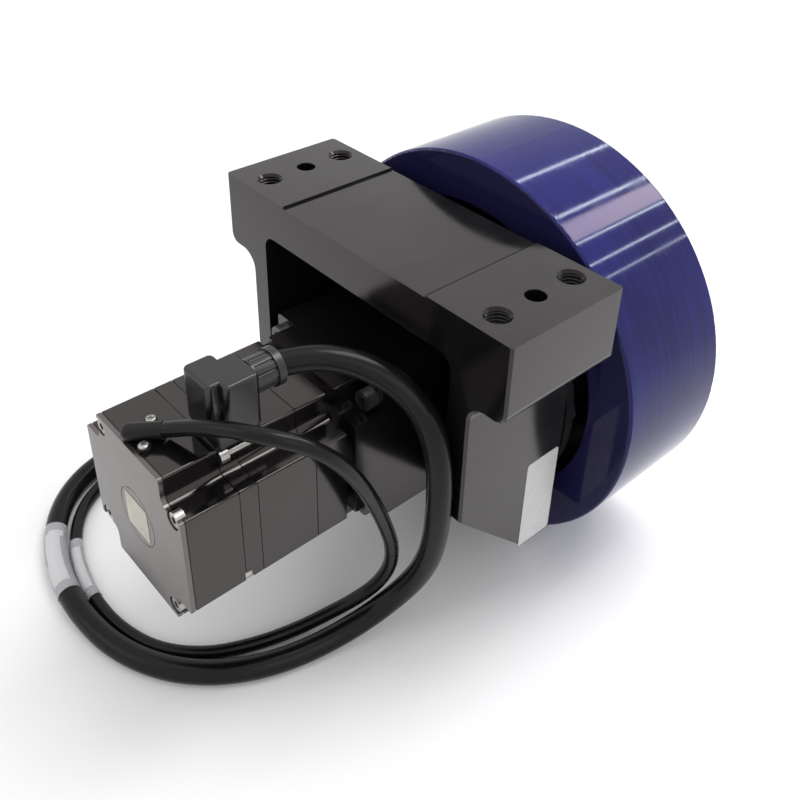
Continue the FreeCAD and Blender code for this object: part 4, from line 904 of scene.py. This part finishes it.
class DRIVEWHEEL_OT_notch(bpy.types.Operator):
    """Open the rear bell's side so that the head of its screw shows"""

    bl_idname = "drive_wheel.notch"
    bl_label = "Bell screw notch"

    def execute(self, context):
        bell = own_copy(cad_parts["rear_bell"])
        bell.parent = None
        settle(bell, "rear_bell_notched")
        bpy.ops.object.mode_set(mode="EDIT")
        bpy.ops.mesh.select_all(action="SELECT")
        bpy.ops.mesh.remove_doubles(threshold=MERGE_DISTANCE)
        bpy.ops.object.mode_set(mode="OBJECT")
        cut_box(bell, (NOTCH_LOW + NOTCH_HIGH) / 2, NOTCH_HIGH - NOTCH_LOW)
        smooth(bell, degrees=25.0)
        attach(bell, "root")
        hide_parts("rear_bell")
        return {"FINISHED"}


def screw_tops(node):
    """Middle of the top of each head in a node of upright screws."""
    spots = [node.matrix_world @ vertex.co for vertex in node.data.vertices]
    height = max(spot.z for spot in spots)
    crowns = []
    for spot in spots:
        if spot.z >= height - TOP_DEPTH:
            near = [crown for crown in crowns if (crown[0] - spot).length < HEAD_REACH]
            if near:
                near[0].append(spot)
            else:
                crowns.append([spot])
    return [Vector((min(parts) + max(parts)) / 2 for parts in zip(*crown)) for crown in crowns]


def pan_head_screw():
    """One pan-headed screw with a cross recess, its top at the origin."""
    deselect_all()
    bpy.ops.mesh.primitive_cylinder_add(vertices=PAN_SIDES, radius=PAN_RADIUS, depth=PAN_HEIGHT,
                                        location=(0.0, 0.0, -PAN_HEIGHT / 2))
    screw = bpy.context.view_layer.objects.active
    settle(screw, "pan_head_screw")
    select_in_edit(screw, "FACE", lambda face: face.normal.z > FLAT_NORMAL)
    bpy.ops.mesh.bevel(offset=PAN_ROUND, segments=PAN_ROUND_SEGMENTS, affect="EDGES")
    select_in_edit(screw, "FACE", lambda face: face.normal.z < -FLAT_NORMAL)
    bpy.ops.mesh.inset(thickness=PAN_RADIUS - PAN_SHANK_RADIUS)
    bpy.ops.mesh.extrude_region_move(
        TRANSFORM_OT_translate={"value": (0.0, 0.0, -PAN_SHANK_LENGTH)})
    bpy.ops.object.mode_set(mode="OBJECT")
    for across, along in ((CROSS_SPAN, CROSS_WIDTH), (CROSS_WIDTH, CROSS_SPAN)):
        cut_box(screw, (0.0, 0.0, 0.0), (across, along, 2 * CROSS_DEPTH))
    return screw


class DRIVEWHEEL_OT_boot_screws(bpy.types.Operator):
    """Give the encoder boot's screws their pan heads and cross recesses"""

    bl_idname = "drive_wheel.boot_screws"
    bl_label = "Boot screws"

    def execute(self, context):
        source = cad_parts["encoder_gland_screws"]
        screw = pan_head_screw()
        copies = []
        for top, turn in zip(screw_tops(source), CROSS_TURNS):
            copy = own_copy(screw)
            copy.data.transform(Matrix.Translation(top)
                                @ Matrix.Rotation(math.radians(turn), 4, "Z"))
            copies.append(copy)
        bpy.data.objects.remove(screw)
        pair = settle(joined(copies), "boot_screws")
        pair.data.materials.clear()
        pair.data.materials.append(source.data.materials[0])
        smooth(pair, degrees=30.0)
        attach(pair, "root")
        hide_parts("encoder_gland_screws")
        return {"FINISHED"}


def threaded_lining(trim, bore, steel):
    """Lining of a tapped hole whose mouth is at the origin: countersink, bore and threads."""
    outer = TAPPED_RADIUS - LINING_FIT
    root = TAPPED_RADIUS - THREAD_ROOT_RELIEF
    crest = root - trim.thread_depth
    mouth = outer - crest
    foot = -(mouth + trim.thread_length)
    tube = lathed("tube", ((outer, 0.0), (crest, -mouth), (root, -mouth - (root - crest)),
                           (root, foot), (outer, foot)))
    tube.data.materials.append(bore)
    pitch = trim.thread_pitch
    base = root + LINING_FIT
    ridge = lathed("ridge", ((base, 0.0), (crest, -RIDGE_CREST_START * pitch),
                             (crest, -RIDGE_CREST_STOP * pitch), (base, -RIDGE_FOOT * pitch)),
                   -pitch, int(trim.thread_length / pitch) - 1)
    ridge.location.z = -mouth
    settle(ridge, "ridge")
    ridge.data.materials.append(steel)
    return joined([tube, ridge])


def dowel_lining(bore):
    """Lining of a dowel hole whose mouth is at the origin."""
    wall = DOWEL_RADIUS - LINING_FIT
    inside = DOWEL_RADIUS - DOWEL_RELIEF
    plain = lathed("plain", ((wall, 0.0), (inside, -DOWEL_MOUTH), (inside, -DOWEL_DEPTH),
                             (wall, -DOWEL_DEPTH)))
    plain.data.materials.append(bore)
    return plain


class DRIVEWHEEL_OT_threads(bpy.types.Operator):
    """Line the chassis holes with their countersunk mouths and threads"""

    bl_idname = "drive_wheel.threads"
    bl_label = "Chassis threads"

    def execute(self, context):
        bore = anodised("hole mouths", settings("finish").bracket_colour, 0.16, 1.38, dust=0.001)
        steel = blackened_steel("cut threads", (0.006, 0.0035, 0.003), 0.22, 1.36)
        tapped = threaded_lining(settings("trim"), bore, steel)
        plain = dowel_lining(bore)
        sides = (-CHASSIS_HOLE_X, CHASSIS_HOLE_X)
        places = [(tapped, "chassis_thread", x, y) for x in sides
                  for y in (-TAPPED_HOLE_Y, TAPPED_HOLE_Y)]
        places += [(plain, "dowel_mouth", x, 0.0) for x in sides]
        for number, (master, name, x, y) in enumerate(places, 1):
            copy = own_copy(master)
            copy.location = (x, y, 0.0)
            settle(copy, "%s_%d" % (name, number))
            smooth(copy, degrees=30.0)
            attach(copy, "root")
        bpy.data.objects.remove(tapped)
        bpy.data.objects.remove(plain)
        return {"FINISHED"}


def area_lamp(name, place, size, power, colour=WHITE):
    """Rectangular lamp with a size in metres and a power in watts."""
    data = bpy.data.lights.new(name, "AREA")
    data.shape = "RECTANGLE"
    data.size, data.size_y = size
    data.energy = power
    data.color = colour
    lamp = bpy.data.objects.new(name, data)
    bpy.context.scene.collection.objects.link(lamp)
    lamp.location = place
    return lamp


def soft_box(name, place, side, power):
    """Square lamp turned to the middle of the object."""
    lamp = area_lamp(name, place, (side, side), power)
    lamp.rotation_mode = "QUATERNION"
    aim = Vector((0.0, 0.0, AXIS_HEIGHT)) - Vector(place)
    lamp.rotation_quaternion = aim.to_track_quat("-Z", "Y")


def axial_lamp(name, place, size, radiance, colour=WHITE):
    """Strip lamp along the drive axis, which mirrors in the tread and the rounded edges."""
    lamp = area_lamp(name, place, size, radiance * math.pi * size[0] * size[1], colour)
    lamp.rotation_euler = (0.0, math.atan2(place[0], place[2] - AXIS_HEIGHT), 0.0)


def seen_share(tree):
    """1 for what the camera sees, also mirrored or through clear film, and 0 for light."""
    path = tree.nodes.new("ShaderNodeLightPath")
    share = path.outputs["Is Camera Ray"]
    for ray in ("Is Glossy Ray", "Is Transmission Ray"):
        either = tree.nodes.new("ShaderNodeMath")
        either.operation = "MAXIMUM"
        tree.links.new(share, either.inputs[0])
        tree.links.new(path.outputs[ray], either.inputs[1])
        share = either.outputs["Value"]
    return share


def put_out(tree, output, share, first, second):
    """Mix two shaders by a share of the second, and show the mix."""
    mix = tree.nodes.new("ShaderNodeMixShader")
    tree.links.new(share, mix.inputs["Fac"])
    tree.links.new(first, mix.inputs[1])
    tree.links.new(second, mix.inputs[2])
    tree.links.new(mix.outputs["Shader"], tree.nodes[output].inputs["Surface"])


def floor_surface(colour):
    """Pale floor that keeps the object's shadow and turns to plain white further out."""
    surface = Finish("pale floor", colour, 0.75, 1.3)
    tree = surface.material.node_tree
    grain = surface.noise(scale=6.0, detail=4.0)
    surface.colour(surface.ramp(grain, (0.3, lighter(colour, 0.985)), (0.7, colour)))
    distance = tree.nodes.new("ShaderNodeVectorMath")
    distance.operation = "LENGTH"
    tree.links.new(surface.place, distance.inputs[0])
    far = surface.spread(distance.outputs["Value"], 0.0, 1.0,
                         start=FLOOR_FADE_START, stop=FLOOR_FADE_STOP)
    white = tree.nodes.new("ShaderNodeEmission")
    put_out(tree, "Material Output", surface.math("MULTIPLY", far, seen_share(tree)),
            surface.shader.outputs["BSDF"], white.outputs["Emission"])
    return surface.material


def stage_world():
    """White behind the object and in its reflections, soft light on it."""
    world = bpy.data.worlds.new("studio")
    bpy.context.scene.world = world
    world.use_nodes = True
    tree = world.node_tree
    light = tree.nodes["Background"]
    light.inputs["Color"].default_value = (*SKY_GREY, 1.0)
    backdrop = tree.nodes.new("ShaderNodeBackground")
    backdrop.inputs["Color"].default_value = (*WHITE, 1.0)
    put_out(tree, "World Output", seen_share(tree),
            light.outputs["Background"], backdrop.outputs["Background"])


def stage_camera(lens):
    """Camera in the photograph's place, turned and shifted as there."""
    back = Vector((math.sin(CAMERA_AZIMUTH) * math.cos(CAMERA_ELEVATION),
                   -math.cos(CAMERA_AZIMUTH) * math.cos(CAMERA_ELEVATION),
                   math.sin(CAMERA_ELEVATION)))
    right = Vector((math.cos(CAMERA_AZIMUTH), math.sin(CAMERA_AZIMUTH), 0.0))
    up = back.cross(right)
    rolled_right = right * math.cos(CAMERA_ROLL) + up * math.sin(CAMERA_ROLL)
    rolled_up = up * math.cos(CAMERA_ROLL) - right * math.sin(CAMERA_ROLL)
    data = bpy.data.cameras.new("photo view")
    data.lens = lens
    data.sensor_width = SENSOR_WIDTH
    data.shift_x, data.shift_y = CAMERA_SHIFT
    data.clip_start = CAMERA_NEAR
    data.clip_end = CAMERA_FAR
    camera = bpy.data.objects.new("photo view", data)
    bpy.context.scene.collection.objects.link(camera)
    turn = Matrix((rolled_right, rolled_up, back)).transposed()
    camera.matrix_world = Matrix.Translation(CAMERA_PLACE) @ turn.to_4x4()
    bpy.context.scene.camera = camera


class DRIVEWHEEL_OT_stage(bpy.types.Operator):
    """Set the pale floor, the soft lamps, the white world and the camera"""

    bl_idname = "drive_wheel.stage"
    bl_label = "Stage"

    def execute(self, context):
        stage = settings("stage")
        deselect_all()
        bpy.ops.mesh.primitive_plane_add(size=stage.floor_size,
                                         location=(0.0, 0.0, FLOOR_HEIGHT))
        floor = bpy.context.view_layer.objects.active
        settle(floor, "floor")
        floor.data.materials.append(floor_surface(stage.floor_colour))
        for name, place, side, power in SOFT_BOXES:
            soft_box(name, place, side, power)
        for across, up, width, radiance, colour in TREAD_LAMPS:
            axial_lamp("tread lamp", (across, TREAD_LAMP_Y, up), (width, TREAD_LAMP_LENGTH),
                       radiance, colour)
        axial_lamp("edge lamp", EDGE_LAMP_PLACE, EDGE_LAMP_SIZE, EDGE_LAMP_RADIANCE)
        stage_world()
        stage_camera(stage.lens)
        context.scene.view_settings.view_transform = "Standard"
        return {"FINISHED"}


GROUPS = {
    "cables": DriveWheelCables,
    "trim": DriveWheelTrim,
    "finish": DriveWheelFinish,
    "stage": DriveWheelStage,
}
OPERATORS = (
    DRIVEWHEEL_OT_cables,
    DRIVEWHEEL_OT_sleeves,
    DRIVEWHEEL_OT_finishes,
    DRIVEWHEEL_OT_label,
    DRIVEWHEEL_OT_painted_seat_shade,
    DRIVEWHEEL_OT_patch,
    DRIVEWHEEL_OT_notch,
    DRIVEWHEEL_OT_boot_screws,
    DRIVEWHEEL_OT_threads,
    DRIVEWHEEL_OT_stage,
)


class DRIVEWHEEL_PT_panel(bpy.types.Panel):
    """Sidebar panel with all settings and a button for each operator"""

    bl_idname = "DRIVEWHEEL_PT_panel"
    bl_label = "Drive wheel"
    bl_space_type = "VIEW_3D"
    bl_region_type = "UI"
    bl_category = "Drive wheel"

    def draw(self, context):
        for name, group in GROUPS.items():
            box = self.layout.box()
            for key in group.__annotations__:
                box.prop(settings(name), key)
        for operator in OPERATORS:
            self.layout.operator(operator.bl_idname)


def register():
    """Register the settings, the operators and the panel."""
    for name, group in GROUPS.items():
        bpy.utils.register_class(group)
        setattr(bpy.types.Scene, "drive_wheel_" + name, bpy.props.PointerProperty(type=group))
    for operator in OPERATORS:
        bpy.utils.register_class(operator)
    bpy.utils.register_class(DRIVEWHEEL_PT_panel)


def unregister():
    """Take back all that register() set up."""
    bpy.utils.unregister_class(DRIVEWHEEL_PT_panel)
    for operator in reversed(OPERATORS):
        bpy.utils.unregister_class(operator)
    for name, group in GROUPS.items():
        delattr(bpy.types.Scene, "drive_wheel_" + name)
        bpy.utils.unregister_class(group)


def main():
    """Dress the frame's part piece by piece."""
    register()
    bpy.ops.drive_wheel.cables()
    bpy.ops.drive_wheel.sleeves()
    bpy.ops.drive_wheel.finishes()
    bpy.ops.drive_wheel.label()
    bpy.ops.drive_wheel.seat_edges()
    bpy.ops.drive_wheel.patch()
    bpy.ops.drive_wheel.notch()
    bpy.ops.drive_wheel.boot_screws()
    bpy.ops.drive_wheel.threads()
    bpy.ops.drive_wheel.stage()


if __name__ == "__main__":
    main()
